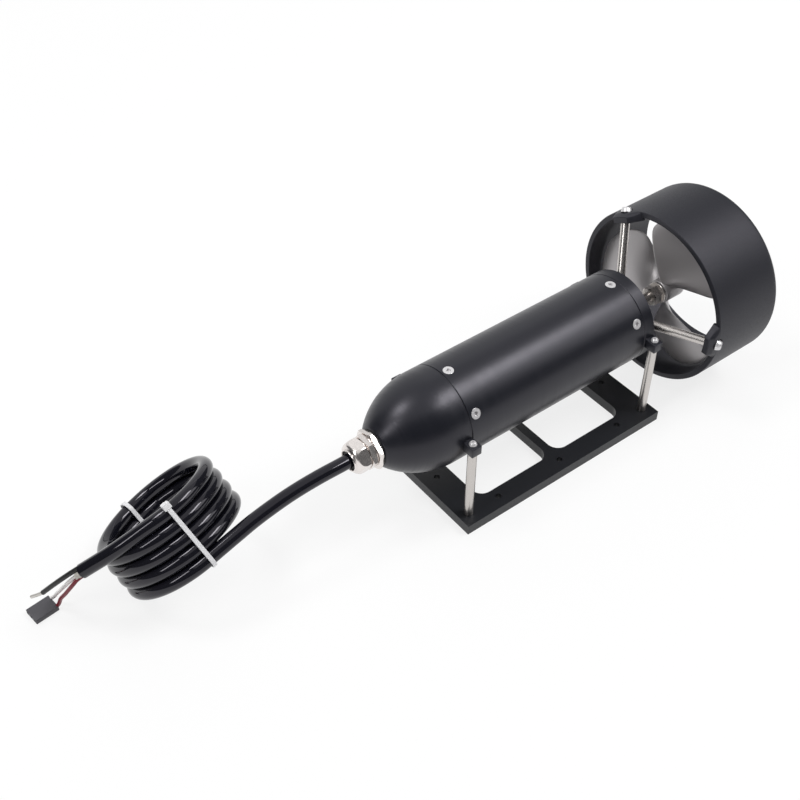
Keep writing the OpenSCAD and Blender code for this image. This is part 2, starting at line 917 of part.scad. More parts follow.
module strut(t) {
    color(steel)
        along_strut(t)
            difference() {
                translate([0, 0, strut_s0])
                    cylinder(h = strut_s1 - strut_s0, d = strut_d);
                translate([0, 0, duct_screw_seat - duct_screw_l - fit])
                    cylinder(h = duct_screw_l, d = duct_screw_d + 2 * fit);
            }
}

module strut_upper() strut(strut_angles[0]);
module strut_near() strut(strut_angles[1]);
module strut_lower() strut(strut_angles[2]);

module duct_screws() {
    color(steel)
        for (t = strut_angles)
            along_strut(t)
                translate([0, 0, duct_screw_seat])
                    pan_screw(duct_screw_d, duct_screw_head_d, duct_screw_head_h, duct_screw_l);
}

// Gland

module gland_washer() {
    color(rubber)
        turned()
            band(gland_thread_r + fit, nose_tip_r - 0.4, flange_x, nose_x0);
}

module gland_body() {
    color(nickel)
        difference() {
            union() {
                on_axis(gland_hex_x)
                    hex(gland_flange_af, flange_l, gland_turn);
                on_axis(gland_stub_x)
                    hex(gland_af, gland_hex_l, gland_turn);
                turned() {
                    band(0, gland_thread_r, gland_stub_x - gland_stub_l, gland_stub_x);
                    band(0, gland_thread_r, flange_x, nose_x0 + gland_thread_l);
                }
            }
            turned() {
                band(0, cable_r + free_gap, gland_stub_x - gland_stub_l, nose_x0 + gland_thread_l);
                band(0, insert_r + fit, gland_stub_x - gland_stub_l, gland_stub_x);
            }
        }
}

module gland_insert() {
    color(rubber)
        turned()
            band(cable_bore_r, insert_r, gland_cap_x0 + lip_t, gland_stub_x);
}

module gland_cap() {
    dome_l = gland_cap_l - 3;
    color(nickel)
        difference() {
            intersection() {
                on_axis(gland_cap_x0)
                    hex(gland_af, gland_cap_l, gland_turn);
                turned() {
                    band(0, gland_af, gland_cap_x0 + dome_l, gland_cap_x1);
                    polygon([[0, gland_cap_x0], [mouth_r + 0.5, gland_cap_x0],
                        [gland_af / 2 - 0.6, gland_cap_x0 + dome_l - 2],
                        [gland_af / 2 + 0.4, gland_cap_x0 + dome_l], [0, gland_cap_x0 + dome_l]]);
                }
            }
            turned() {
                band(0, gland_thread_r + fit, gland_stub_x - gland_stub_l - fit, gland_cap_x1);
                band(0, insert_r + fit, gland_cap_x0 + lip_t, gland_cap_x1);
                band(0, mouth_r, gland_cap_x0, gland_cap_x0 + lip_t);
            }
        }
}

// Lead

module cable() {
    into_coil = [for (a = [coil_in:15:coil_in + 60]) coil_point(a)];
    color(rubber)
        swept_tube(concat(lead_route, into_coil), cable_d, cable_sides);
}

// Outer shape of the wound turns: a ring with rounded ends
module coil_section(grow, low, high) {
    translate([coil_r - cable_r - grow, low])
        square([cable_d + 2 * grow, high - low]);
    for (z = [low, high])
        translate([coil_r, z])
            circle(cable_r + grow);
}

module cable_coil() {
    color(rubber)
        in_coil()
            rotate_extrude()
                coil_section(0, coil_low, coil_high);
}

module cable_end() {
    out = 360 * coil_turns + coil_in;
    out_of_coil = [for (a = [out - 75:15:out]) coil_point(a)];
    color(rubber)
        swept_tube(concat(out_of_coil, end_route), cable_d, cable_sides);
}

module lead_black() color(rubber) swept_tube(black_route, power_lead_d, lead_sides);
module lead_red() color("darkred") swept_tube(red_route, signal_lead_d, lead_sides);
module lead_white() color("white") swept_tube(white_route, signal_lead_d, lead_sides);

module connector() {
    color("#3a3a3e")
        translate(connector_at)
            rotate(connector_turn)
                difference() {
                    translate([-connector_size[0] / 2, -connector_size[1] / 2, 0])
                        cube(connector_size);
                    for (k = [-1:1])
                        translate([-connector_size[0] / 2 - fit, k * pin_pitch - socket_side / 2,
                            (connector_size[2] - socket_side) / 2])
                            cube([socket_l, socket_side, socket_side]);
                    for (k = [-1:1])
                        translate([connector_size[0] / 2 - lead_hole_l, k * pin_pitch, connector_size[2] / 2])
                            rotate([0, 90, 0])
                                cylinder(h = lead_hole_l + fit, d = lead_hole_d);
                }
}

// A strap round the coil's section, a degrees from the coil's highest side, with its head at [r, z]
module cable_tie(a, low, high, head) {
    color("white")
        in_coil()
            rotate(180 - a)
                rotate([90, 0, 0])
                    difference() {
                        union() {
                            translate([0, 0, -tie_w / 2])
                                linear_extrude(tie_w)
                                    coil_section(tie_slack + tie_t, low, high);
                            translate([head[0], head[1], 0])
                                cube(tie_head, center = true);
                        }
                        translate([0, 0, -tie_head[2]])
                            linear_extrude(2 * tie_head[2])
                                coil_section(tie_slack, low, high);
                    }
}

module near_cable_tie() {
    low = coil_pitch * near_tie_at / 360;
    high = low + coil_pitch * coil_turns;
    cable_tie(near_tie_at, low, high, [coil_r + 0.9 * cable_r, high + cable_r]);
}

module far_cable_tie() {
    head = [coil_r + cable_r + tie_slack + tie_head[0] / 2, (coil_low + coil_high) / 2];
    cable_tie(far_tie_at, coil_low, coil_high, head);
}

base_plate();
post_front_near();
post_front_far();
post_rear_near();
post_rear_far();
plate_screws();
lug_screws();
nose_cone();
nose_o_ring();
nose_screws();
motor_tube();
tail_screws();
tail_cap();
tail_o_ring();
inner_shaft_seal();
outer_shaft_seal();
front_end_bell();
rear_end_bell();
motor_screws();
stator_sleeve();
stator_core();
stator_windings();
front_bearing();
rear_bearing();
motor_shaft();
rotor_core();
rotor_magnet();
controller_tray();
controller_board();
drive_collar();
propeller();
propeller_nut();
duct();
strut_upper();
strut_near();
strut_lower();
duct_screws();
gland_washer();
gland_body();
gland_insert();
gland_cap();
cable();
cable_coil();
cable_end();
lead_black();
lead_red();
lead_white();
connector();
near_cable_tie();
far_cable_tie();
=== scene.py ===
# %% [markdown]
# # A ducted underwater thruster
#
# The solids of the thruster come in as a fixed frame: every node sits where the real piece sits, in
# metres. This lesson gives each piece its real edges, small parts and finish, from the camera to the last
# screw.

# %% Load the frame
import json
from functools import partial
from math import asin, ceil, cos, exp, pi, radians, sin, sqrt, tan

import bmesh
import bpy
from mathutils import Matrix, Vector

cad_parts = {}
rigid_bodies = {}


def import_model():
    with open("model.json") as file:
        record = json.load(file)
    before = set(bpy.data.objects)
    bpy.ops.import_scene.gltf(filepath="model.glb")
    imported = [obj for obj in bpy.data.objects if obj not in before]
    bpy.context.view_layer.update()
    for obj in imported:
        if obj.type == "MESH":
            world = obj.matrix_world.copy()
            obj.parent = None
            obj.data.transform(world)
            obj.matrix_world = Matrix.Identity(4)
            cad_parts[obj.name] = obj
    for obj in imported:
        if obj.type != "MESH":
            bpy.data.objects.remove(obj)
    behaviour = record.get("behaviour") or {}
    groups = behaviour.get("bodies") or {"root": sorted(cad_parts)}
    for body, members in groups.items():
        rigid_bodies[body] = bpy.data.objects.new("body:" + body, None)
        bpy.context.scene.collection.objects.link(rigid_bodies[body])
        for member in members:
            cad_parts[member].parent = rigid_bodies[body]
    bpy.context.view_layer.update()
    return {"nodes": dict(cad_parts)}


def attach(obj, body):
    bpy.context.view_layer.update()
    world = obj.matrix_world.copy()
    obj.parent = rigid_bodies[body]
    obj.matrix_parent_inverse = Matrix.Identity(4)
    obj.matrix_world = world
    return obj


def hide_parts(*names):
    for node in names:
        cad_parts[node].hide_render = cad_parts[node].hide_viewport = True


for leftover in list(bpy.data.objects):
    bpy.data.objects.remove(leftover)
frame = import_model()
nodes = frame["nodes"]
scene = bpy.context.scene
scene.view_settings.view_transform = "Standard"
MM = 0.001
AXIS_H = 45.0

# %% [markdown]
# ## The camera
#
# The viewer looks down at about 44 degrees, from in front of the gland and on the near side. The view was
# fitted to the plate, the tube and the duct, so the right and the up direction of the camera are written
# down as they came out. Its backward direction follows from them.

# %% Camera
def in_scene(data, name="work"):
    """An object in the scene that carries a camera, a mesh or a lamp."""
    obj = bpy.data.objects.new(name, data)
    scene.collection.objects.link(obj)
    return obj


CAMERA_AT, FOCAL_LENGTH, SENSOR_WIDTH = (-0.2776, -0.2688, 0.3908), 53.95, 36
camera_data = bpy.data.cameras.new("camera")
camera = in_scene(camera_data, "camera")
view_right = Vector((0.7932, -0.6089, 0.0029))
view_up = Vector((0.4209, 0.5518, 0.7200))
view_back = view_right.cross(view_up).normalized()
view_up = view_back.cross(view_right).normalized()
turn = Matrix((view_right.normalized(), view_up, view_back)).transposed()
camera.matrix_world = Matrix.Translation(CAMERA_AT) @ turn.to_4x4()
camera_data.sensor_width = SENSOR_WIDTH
camera_data.lens = FOCAL_LENGTH
camera_data.clip_start = 0.01
scene.camera = camera
print("camera at", [round(v, 3) for v in camera.matrix_world.translation])

# %% [markdown]
# ## Finishes
#
# A finish is a small tree of nodes. Each one here mixes two close colours with a noise, so that no
# surface is one flat colour, and lets a finer noise move the roughness and the bump. The patterns read
# Object coordinates: all pieces sit at the origin, so a grain that is fine along X and drawn out across
# it gives turning marks on every lathe-turned piece. Nodes are made in many places of this lesson, so
# they get a helper of their own first.

# %% A helper for nodes
def add_node(tree, kind, links=(), **values):
    """A node with settings, input values and links; a link from a node means its first output."""
    node = tree.nodes.new(kind)
    for key, value in values.items():
        if hasattr(node, key):
            setattr(node, key, value)
        else:
            node.inputs[key.replace("_", " ")].default_value = value
    for key, source in dict(links).items():
        tree.links.new(source.outputs[0] if hasattr(source, "outputs") else source, node.inputs[key])
    return node


# %% A helper for finishes
def finish(name, dark, light, rough, grain, bump, depth, metallic=0.0, patch=30, **sockets):
    """A material whose colour changes in patches and whose roughness and bump follow a grain."""
    mat = bpy.data.materials.new(name)
    mat.use_nodes = True
    tree = mat.node_tree
    add = partial(add_node, tree)
    shader = tree.nodes["Principled BSDF"]
    shader.inputs["Metallic"].default_value = metallic
    for socket, value in sockets.items():
        shader.inputs[socket.replace("_", " ")].default_value = value
    place = add("ShaderNodeTexCoord").outputs["Object"]
    blotch = add("ShaderNodeTexNoise", {"Vector": place}, Scale=patch, Detail=3)
    tint = add("ShaderNodeMix", {"Factor": blotch}, data_type="RGBA", A=(*dark, 1), B=(*light, 1))
    scale = grain if isinstance(grain, tuple) else (grain,) * 3
    stretch = add("ShaderNodeMapping", {"Vector": place}, Scale=scale)
    marks = add("ShaderNodeTexNoise", {"Vector": stretch}, Scale=1, Detail=4)
    span = add("ShaderNodeMapRange", {"Value": marks}, From_Min=0.3, From_Max=0.7, To_Min=rough[0],
               To_Max=rough[1])
    lift = add("ShaderNodeBump", {"Height": marks}, Strength=bump, Distance=depth * MM)
    tree.links.new(tint.outputs["Result"], shader.inputs["Base Color"])
    tree.links.new(span.outputs["Result"], shader.inputs["Roughness"])
    tree.links.new(lift.outputs["Normal"], shader.inputs["Normal"])
    return mat


# %% [markdown]
# The black of the housing is anodised aluminium: nearly black, with a faint violet in its gloss, turned
# on a lathe where it is round and milled where it is flat. Rods, screws and blades are stainless steel
# with three different grades of polish, and the gland is nickel plate with a warm tone.

# %% The black finishes
VIOLET_GLOSS = (0.94, 0.91, 1, 1)
turned_black = finish(
    "turned_black_anodising", (0.0060, 0.0072, 0.0110), (0.0085, 0.0094, 0.0140), rough=(0.30, 0.38),
    grain=(1500, 30, 30), bump=0.05, depth=0.02, Specular_Tint=VIOLET_GLOSS)
milled_black = finish(
    "milled_black_anodising", (0.0060, 0.0070, 0.0105), (0.0090, 0.0100, 0.0140), rough=(0.38, 0.50),
    grain=1200, bump=0.08, depth=0.02)
blasted_black = finish(
    "blasted_black_anodising", (0.0075, 0.0085, 0.0125), (0.0110, 0.0120, 0.0165), rough=(0.44, 0.54),
    grain=1600, bump=0.12, depth=0.02, Specular_Tint=VIOLET_GLOSS)
seal_rubber = finish(
    "black_seal_rubber", (0.006, 0.006, 0.006), (0.012, 0.012, 0.012), rough=(0.5, 0.65),
    grain=1500, bump=0.2, depth=0.05)
print(len(bpy.data.materials), "materials with the black ones")

# %% The metal finishes
rod_steel = finish(
    "drawn_stainless_rod", (0.54, 0.51, 0.49), (0.62, 0.59, 0.565), rough=(0.24, 0.32),
    grain=(2500, 2500, 60), bump=0.02, depth=0.01, metallic=1.0)
bright_steel = finish(
    "bright_screw_steel", (0.70, 0.69, 0.70), (0.78, 0.77, 0.78), rough=(0.30, 0.40),
    grain=1500, bump=0.04, depth=0.02, metallic=0.55)
blade_steel = finish(
    "satin_blade_steel", (0.44, 0.42, 0.425), (0.50, 0.48, 0.485), rough=(0.29, 0.36),
    grain=900, bump=0.01, depth=0.005, metallic=0.52, patch=25)
nickel_plate = finish(
    "warm_nickel_plate", (0.78, 0.735, 0.71), (0.85, 0.805, 0.78), rough=(0.19, 0.27),
    grain=(1200, 500, 500), bump=0.03, depth=0.02, metallic=1.0)
bare_aluminium = finish(
    "machined_aluminium", (0.66, 0.66, 0.68), (0.74, 0.74, 0.75), rough=(0.28, 0.4),
    grain=(2000, 60, 60), bump=0.1, depth=0.03, metallic=1.0)
ground_steel = finish(
    "ground_steel", (0.45, 0.45, 0.47), (0.54, 0.54, 0.56), rough=(0.2, 0.32),
    grain=(1800, 80, 80), bump=0.06, depth=0.02, metallic=1.0)
wound_copper = finish(
    "enamelled_copper", (0.50, 0.20, 0.07), (0.64, 0.30, 0.12), rough=(0.25, 0.4),
    grain=(200, 2500, 2500), bump=0.5, depth=0.2, metallic=1.0)
plated_magnet = finish(
    "plated_magnet", (0.30, 0.30, 0.31), (0.38, 0.38, 0.39), rough=(0.3, 0.45),
    grain=900, bump=0.08, depth=0.03, metallic=1.0)
tinned_wire = finish(
    "tinned_strands", (0.55, 0.53, 0.50), (0.68, 0.66, 0.63), rough=(0.3, 0.45),
    grain=900, bump=0.3, depth=0.1, metallic=1.0)
print(len(bpy.data.materials), "materials with the metals")

# %% The plastic finishes
green_board = finish(
    "green_circuit_board", (0.010, 0.10, 0.035), (0.020, 0.16, 0.06), rough=(0.3, 0.45),
    grain=900, bump=0.1, depth=0.05, patch=260)
sheath_black = finish(
    "glossy_black_sheath", (0.0045, 0.0046, 0.0080), (0.0070, 0.0070, 0.0110), rough=(0.05, 0.10),
    grain=420, bump=0.12, depth=0.06, Specular_Tint=(0.96, 0.93, 1, 1))
cut_sheath = finish(
    "matt_cut_of_the_sheath", (0.008, 0.008, 0.010), (0.014, 0.014, 0.016), rough=(0.75, 0.9),
    grain=1800, bump=0.4, depth=0.1, Specular_IOR_Level=0.2)
wire_black = finish(
    "black_wire_insulation", (0.008, 0.008, 0.008), (0.014, 0.014, 0.014), rough=(0.3, 0.42),
    grain=900, bump=0.1, depth=0.05)
wire_red = finish(
    "red_wire_insulation", (0.15, 0.006, 0.016), (0.22, 0.010, 0.024), rough=(0.4, 0.5),
    grain=900, bump=0.1, depth=0.05, Specular_IOR_Level=0.3)
wire_white = finish(
    "white_wire_insulation", (0.88, 0.85, 0.83), (0.93, 0.91, 0.90), rough=(0.3, 0.42),
    grain=900, bump=0.1, depth=0.05)
pale_filler = finish(
    "pale_lead_filler", (0.42, 0.40, 0.36), (0.62, 0.60, 0.55), rough=(0.6, 0.75),
    grain=1500, bump=0.6, depth=0.15, patch=900)
white_nylon = finish(
    "white_nylon", (0.74, 0.74, 0.76), (0.82, 0.82, 0.83), rough=(0.30, 0.42),
    grain=700, bump=0.08, depth=0.05)
grey_housing = finish(
    "dark_grey_housing", (0.058, 0.056, 0.066), (0.076, 0.074, 0.084), rough=(0.42, 0.55),
    grain=1800, bump=0.2, depth=0.05)
print(len(bpy.data.materials), "materials in all")

# %% [markdown]
# ## The lead
#
# The lead is one flexible length: out of the gland, down to the coil, four turns, and a short free end.
# Its route repeats the points of the construction model. A spline through them gives the smooth line, and
# a ring of points carried along that line gives the tube, with its own UV map: one direction is the
# length in metres.

# %% Route of the lead
CABLE_D = 6.0
COIL_R, COIL_PITCH, COIL_TURNS, COIL_IN, COIL_STEP = 25.5, 6.05, 4, 30, 15
COIL_TILT, COIL_TURN = radians(39.7), radians(114.1)
coil_base = Vector((-159.6, 20.1, 18.3))
coil_axis = Vector((sin(COIL_TILT) * cos(COIL_TURN), sin(COIL_TILT) * sin(COIL_TURN),
                    cos(COIL_TILT)))
coil_left = Vector((-sin(COIL_TURN), cos(COIL_TURN), 0))
coil_up = coil_axis.cross(coil_left)
lead_route = [(-82, 0, 45), (-88, 0, 45), (-100, 0, 45), (-108, 0.3, 44.7), (-116, 0.6, 44),
              (-124, 0.9, 42.8), (-132, 1, 41.2), (-140, 0.9, 39.4), (-148, 0.5, 37.3), (-156, 0.1, 35.1)]
end_route = [(-178.5, 15.2, 47.9), (-186.2, 17.6, 43.1), (-193.1, 20.7, 38), (-201.1, 25.2, 31.5)]


def coil_point(a):
    """A point of the coil, a degrees along it from its highest side, in millimetres."""
    turn_a = radians(a)
    return (coil_base + coil_axis * (COIL_PITCH * a / 360)
            + COIL_R * (cos(turn_a) * coil_up + sin(turn_a) * coil_left))


def spline(points, steps):
    """A smooth line through the points: a Catmull-Rom spline with some steps between each two."""
    p = [Vector(q) for q in points]
    p = [2 * p[0] - p[1]] + p + [2 * p[-1] - p[-2]]
    line = []
    for i in range(1, len(p) - 2):
        for k in range(steps):
            t = k / steps
            line.append(0.5 * (2 * p[i] + (p[i + 1] - p[i - 1]) * t
                               + (2 * p[i - 1] - 5 * p[i] + 4 * p[i + 1] - p[i + 2]) * t ** 2
                               + (3 * p[i] - p[i - 1] - 3 * p[i + 1] + p[i + 2]) * t ** 3))
    return line + [p[-2]]


turns = [coil_point(a) for a in range(COIL_IN, 360 * COIL_TURNS + COIL_IN + 1, COIL_STEP)]
lead_line = [q * MM for q in spline(lead_route + turns + end_route, steps=4)]
lead_length = sum((b - a).length for a, b in zip(lead_line, lead_line[1:]))
print("lead", len(lead_line), "points,", round(lead_length, 4), "m")


# %% Put a piece in the scene
def link_piece(name, mesh, stands_for=(), mat=None, body="housing"):
    """Put a finished mesh in the scene on the body it rides on, and hide the solids it stands for."""
    if mat:
        mesh.materials.append(mat)
    piece = in_scene(mesh, name)
    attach(piece, body)
    if stands_for:
        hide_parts(*stands_for)
    print(name, len(mesh.polygons), "faces")
    return piece


# %% A tube along a line
def circle(count):
    """The directions of points round a circle, as pairs of cosine and sine."""
    angles = [2 * pi * k / count for k in range(count)]
    return [(cos(a), sin(a)) for a in angles]


def closed_mesh(name, bm, sharp=28):
    """Turn the faces outwards, smooth them between the sharp edges, and hand over a mesh."""
    bmesh.ops.recalc_face_normals(bm, faces=bm.faces)
    for face in bm.faces:
        face.smooth = True
    mesh = bpy.data.meshes.new(name)
    bm.to_mesh(mesh)
    bm.free()
    mesh.set_sharp_from_angle(angle=radians(sharp))
    return mesh


def swept(name, line, radius, mat, cut_mat, sides=16):
    """A closed tube along a line, its rings carried along without twist; u is the length, v goes round."""
    bm = bmesh.new()
    uv = bm.loops.layers.uv.new("UVMap")
    heads = [(line[min(i + 1, len(line) - 1)] - line[max(i - 1, 0)]).normalized() for i in range(len(line))]
    side = heads[0].orthogonal().normalized()
    rings, run = [], [0.0]
    for i, (c, t) in enumerate(zip(line, heads)):
        side = (side - t * side.dot(t)).normalized()
        other = t.cross(side)
        rings.append([bm.verts.new(c + radius * (u * side + v * other)) for u, v in circle(sides)])
        if i:
            run.append(run[-1] + (c - line[i - 1]).length)
    for i in range(len(rings) - 1):
        for k in range(sides):
            j = (k + 1) % sides
            face = bm.faces.new((rings[i][k], rings[i][j], rings[i + 1][j], rings[i + 1][k]))
            for loop, (u, v) in zip(face.loops, ((i, k), (i, k + 1), (i + 1, k + 1), (i + 1, k))):
                loop[uv].uv = (run[u], v / sides)
    for cut in (list(reversed(rings[0])), rings[-1]):
        bm.faces.new(cut).material_index = 1
    mesh = closed_mesh(name, bm, sharp=50)
    mesh.materials.append(mat)
    mesh.materials.append(cut_mat)
    return mesh


lead_mesh = swept("lead", lead_line, CABLE_D / 2 * MM, sheath_black, cut_sheath, sides=24)
lead = link_piece("lead", lead_mesh, ["cable", "cable_coil", "cable_end"])

# %% [markdown]
# ## Stripped leads
#
# The sheath is cut back at the free end. A black supply lead with a tinned tip leaves it, and a red and a
# white lead run down to the connector. Pale filler shows in the cut. They are too short to be cords of
# their own, so they go with the lead. They are short tubes, swept like the lead and riding on the housing
# as it does.

# %% The three leads
black_route = [(-200.4, 26.4, 32.8), (-201.2, 26.8, 32.2), (-205.6, 29, 28.9), (-210.2, 32.2, 24),
               (-215, 36, 18)]
tip_route = [(-214.4, 35.4, 18.7), (-215, 36, 18), (-216.8, 38.2, 15.7), (-218.6, 40.6, 13.4)]
red_route = [(-200.8, 23.5, 31.1), (-201.5, 23.9, 30.5), (-203.8, 25.2, 28.3), (-206, 27.1, 24.1),
             (-208.2, 31.4, 16.5), (-209.1, 36.6, 8.8), (-209.8, 38.9, 3.8), (-210.5, 39.8, 1.9),
             (-211.4, 40, 1.4)]
white_route = [(-199.9, 25.2, 31.3), (-200.6, 25.6, 30.7), (-203.2, 27, 28.4), (-205.7, 29, 25),
               (-207.3, 34.4, 17), (-208.8, 40.4, 8.3), (-209.7, 43.4, 3.6), (-210.8, 44.7, 1.8),
               (-211.9, 45, 1.4)]
core_route = [(-200.2, 24.4, 31.8), (-201.4, 24.8, 30.7), (-202.5, 25.5, 29.7), (-203.3, 26.1, 29.0)]
for name, route, d, mat, slot, stands_for in (
        ("black_lead", black_route, 2.0, wire_black, "cable_sheath", ["lead_black"]),
        ("tinned_tip", tip_route, 1.4, tinned_wire, "stainless", []),
        ("red_lead", red_route, 1.6, wire_red, "red_lead", ["lead_red"]),
        ("white_lead", white_route, 1.6, wire_white, "white_plastic", ["lead_white"]),
        ("lead_filler", core_route, 3.2, pale_filler, "white_plastic", [])):
    mesh = swept(name, [q * MM for q in spline(route, steps=6)], d / 2 * MM, mat, mat)
    link_piece(name, mesh, stands_for)

# %% [markdown]
# ## Turned pieces
#
# The nose, the tube, the tail cap and the duct come off a lathe. A section drawn as corners of (station,
# radius) is spun round the shaft axis. Each sharp corner first gets a small chamfer, because no machined
# edge is perfectly sharp and the chamfer is what catches the light, and long runs get extra points so
# that the faces stay small. A Screw modifier would spin the section too, but the loft helper here is used
# again for pins and ears.

# %% A skin over rings of points
def loft(bm, rings, around=False):
    """A skin over rings of points, which comes back to the first ring or is closed at both ends."""
    following = rings[1:] + rings[:1] if around else rings[1:]
    for low, high in zip(rings, following):
        for k in range(len(low)):
            j = (k + 1) % len(low)
            bm.faces.new((low[k], low[j], high[j], high[k]))
    if not around:
        bm.faces.new(list(reversed(rings[0])))
        bm.faces.new(rings[-1])


# %% Spin a section round the shaft
def eased_corners(corners, ease, step, sharp=20):
    """The closed section with its sharp corners chamfered and its long sides divided."""
    p = [Vector(c) for c in corners]
    cut = []
    for i, q in enumerate(p):
        back, ahead = p[i - 1] - q, p[(i + 1) % len(p)] - q
        if pi - back.angle(ahead) > radians(sharp):
            size = min(ease, 0.4 * back.length, 0.4 * ahead.length)
            cut += [q + back.normalized() * size, q + ahead.normalized() * size]
        else:
            cut.append(q)
    line = []
    for a, b in zip(cut, cut[1:] + cut[:1]):
        parts = max(1, ceil((b - a).length / step))
        line += [a.lerp(b, k / parts) for k in range(parts)]
    return line


def ring_section(x0, x1, r0, r1):
    """The section of a plain ring between two stations and two radii."""
    return [(x0, r0), (x0, r1), (x1, r1), (x1, r0)]


def shaft_point(x, r, a):
    """A point at a station, a radius and an angle round the shaft."""
    return x * MM, r * cos(a) * MM, (AXIS_H + r * sin(a)) * MM


def spun(name, corners, ease=0.12, step=2.5, segments=192):
    """A ring-shaped solid: the section spun round the shaft axis."""
    line = eased_corners(corners, ease, step)
    bm = bmesh.new()
    angles = [2 * pi * k / segments for k in range(segments)]
    loft(bm, [[bm.verts.new(shaft_point(x, r, a)) for x, r in line] for a in angles], around=True)
    return closed_mesh(name, bm)


# %% [markdown]
# Screws sit in countersinks and on flat seats. A Boolean modifier cuts them out of the turned pieces: the
# cutters are pins with cones and shoulders that point outwards, gathered in one mesh.

# %% Pins that point outwards
def outward_frame(x, r, degrees, lean=0.0):
    """A place at a station, a radius and an angle, its z axis pointing out from the shaft and leaning aft."""
    a, b = radians(degrees), radians(lean)
    out = Vector((sin(b), cos(b) * cos(a), cos(b) * sin(a)))
    side = Vector((cos(b), -sin(b) * cos(a), -sin(b) * sin(a)))
    place = Matrix((side, out.cross(side), out)).transposed().to_4x4()
    place.translation = Vector((x, r * cos(a), AXIS_H + r * sin(a))) * MM
    return place


def add_pin(bm, place, stations, sides=40):
    """A closed turned pin: stations of (height, radius) along the z axis of its place."""
    loft(bm, [[bm.verts.new(place @ (Vector((r * c, r * s, h)) * MM)) for c, s in circle(sides)]
              for h, r in stations])


def countersink(d, head_d, depth, fit=0.05):
    """Stations of the pin that cuts the seat of a countersunk screw, a little wider than the screw."""
    hole_r, sink_r = d / 2 + fit, head_d / 2 + fit
    return [(-depth, hole_r), (hole_r - sink_r, hole_r), (0, sink_r), (1, sink_r)]


# %% Cut seats
def plain_mesh(obj, name):
    """The mesh that an object's modifiers make of it; the object goes."""
    mesh = bpy.data.meshes.new_from_object(obj.evaluated_get(bpy.context.evaluated_depsgraph_get()))
    mesh.name = name
    bpy.data.objects.remove(obj)
    return mesh


def combined(mesh, other, operation, sharp=28):
    """Two closed meshes put together by a Boolean modifier."""
    tool, work = in_scene(other, "tool"), in_scene(mesh)
    knife = work.modifiers.new("seats", "BOOLEAN")
    knife.operation = operation
    knife.solver = "EXACT"
    knife.object = tool
    cut = plain_mesh(work, mesh.name)
    bpy.data.objects.remove(tool)
    for face in cut.polygons:
        face.use_smooth = True
    cut.set_sharp_from_angle(angle=radians(sharp))
    return cut


def with_cuts(mesh, cutter_bm):
    """The mesh with the cutters taken out of it."""
    return combined(mesh, closed_mesh("cutter", cutter_bm), "DIFFERENCE")


# %% [markdown]
# The tube is a plain turned pipe with six countersinks at each end. The edges where it meets the nose and
# the tail cap are eased a little more than the others, and so are theirs, because the seam shows as a
# fine line.

# %% Motor tube
TUBE_R, BORE_R, TUBE_X0, TUBE_X1, SEAM_EASE = 21.0, 19.0, -49.25, 48.75, 0.28
NOSE_SCREW_X, TAIL_SCREW_X, SCREW_SINK = -45.65, 45.15, 0.2
SCREW_D, SCREW_HEAD_D = 2.5, 4.7
tube_section = [(TUBE_X0, BORE_R), (TUBE_X1, BORE_R), (TUBE_X1, TUBE_R), (TUBE_X0, TUBE_R)]
seats = bmesh.new()
for x in (NOSE_SCREW_X, TAIL_SCREW_X):
    for degrees in range(30, 360, 60):
        add_pin(seats, outward_frame(x, TUBE_R - SCREW_SINK, degrees),
                countersink(SCREW_D, SCREW_HEAD_D, depth=2.6))
tube_mesh = with_cuts(spun("motor_tube_turned", tube_section, ease=SEAM_EASE), seats)
link_piece("motor_tube_turned", tube_mesh, ["motor_tube"], turned_black)

# %% [markdown]
# The nose and the tail cap carry square lugs for the posts. A lug is a block with rounded edges that runs
# into the round body, so it goes into the same mesh.

# %% Blocks with rounded edges
POST_X, POST_Y, LUG_TOP, LUG_H, LUG_L = 51.75, 24.0, 46.5, 4.5, 5.0
LUG_REACH, LUG_ROOT = POST_Y + 2.8, 18


def add_block(bm, low, high, ease):
    """A block between two corners, in millimetres, with rounded edges."""
    block = bmesh.new()
    bmesh.ops.create_cube(block, size=1.0)
    mid, size = (Vector(low) + Vector(high)) / 2, Vector(high) - Vector(low)
    for v in block.verts:
        v.co = Vector([mid[i] + v.co[i] * size[i] for i in range(3)]) * MM
    bmesh.ops.bevel(block, geom=block.edges[:], offset=ease * MM, segments=3, profile=0.5, affect="EDGES")
    loose = bpy.data.meshes.new("block")
    block.to_mesh(loose)
    block.free()
    bm.from_mesh(loose)
    bpy.data.meshes.remove(loose)


def with_lugs(mesh, x, ease=0.35):
    """The mesh together with the two lugs at a station."""
    bm = bmesh.new()
    bm.from_mesh(mesh)
    for near, far in ((-LUG_REACH, -LUG_ROOT), (LUG_ROOT, LUG_REACH)):
        add_block(bm, (x - LUG_L / 2, near, LUG_TOP - LUG_H), (x + LUG_L / 2, far, LUG_TOP), ease)
    return closed_mesh(mesh.name, bm)


# %% [markdown]
# The nose is a straight band and a rounded nose whose side is an arc of a circle, tangent to the band.
# The cavity inside follows it.

# %% Nose
NOSE_X0, BAND_X, NOSE_TIP_R, NOSE_WALL = -83.25, -55.25, 8.4, 3.5
SPIGOT_R, SPIGOT_L, CAVITY_R, CAVITY_L, GLAND_HOLE_R = 18.95, 12, 14.95, 22, 6.05
run, drop = BAND_X - NOSE_X0, TUBE_R - NOSE_TIP_R
OGIVE_R = (run ** 2 + drop ** 2) / (2 * drop)


def ogive(x, shell=0.0):
    """Radius of the nose at a station, less the thickness of the shell."""
    return TUBE_R - OGIVE_R + sqrt((OGIVE_R - shell) ** 2 - (BAND_X - x) ** 2)


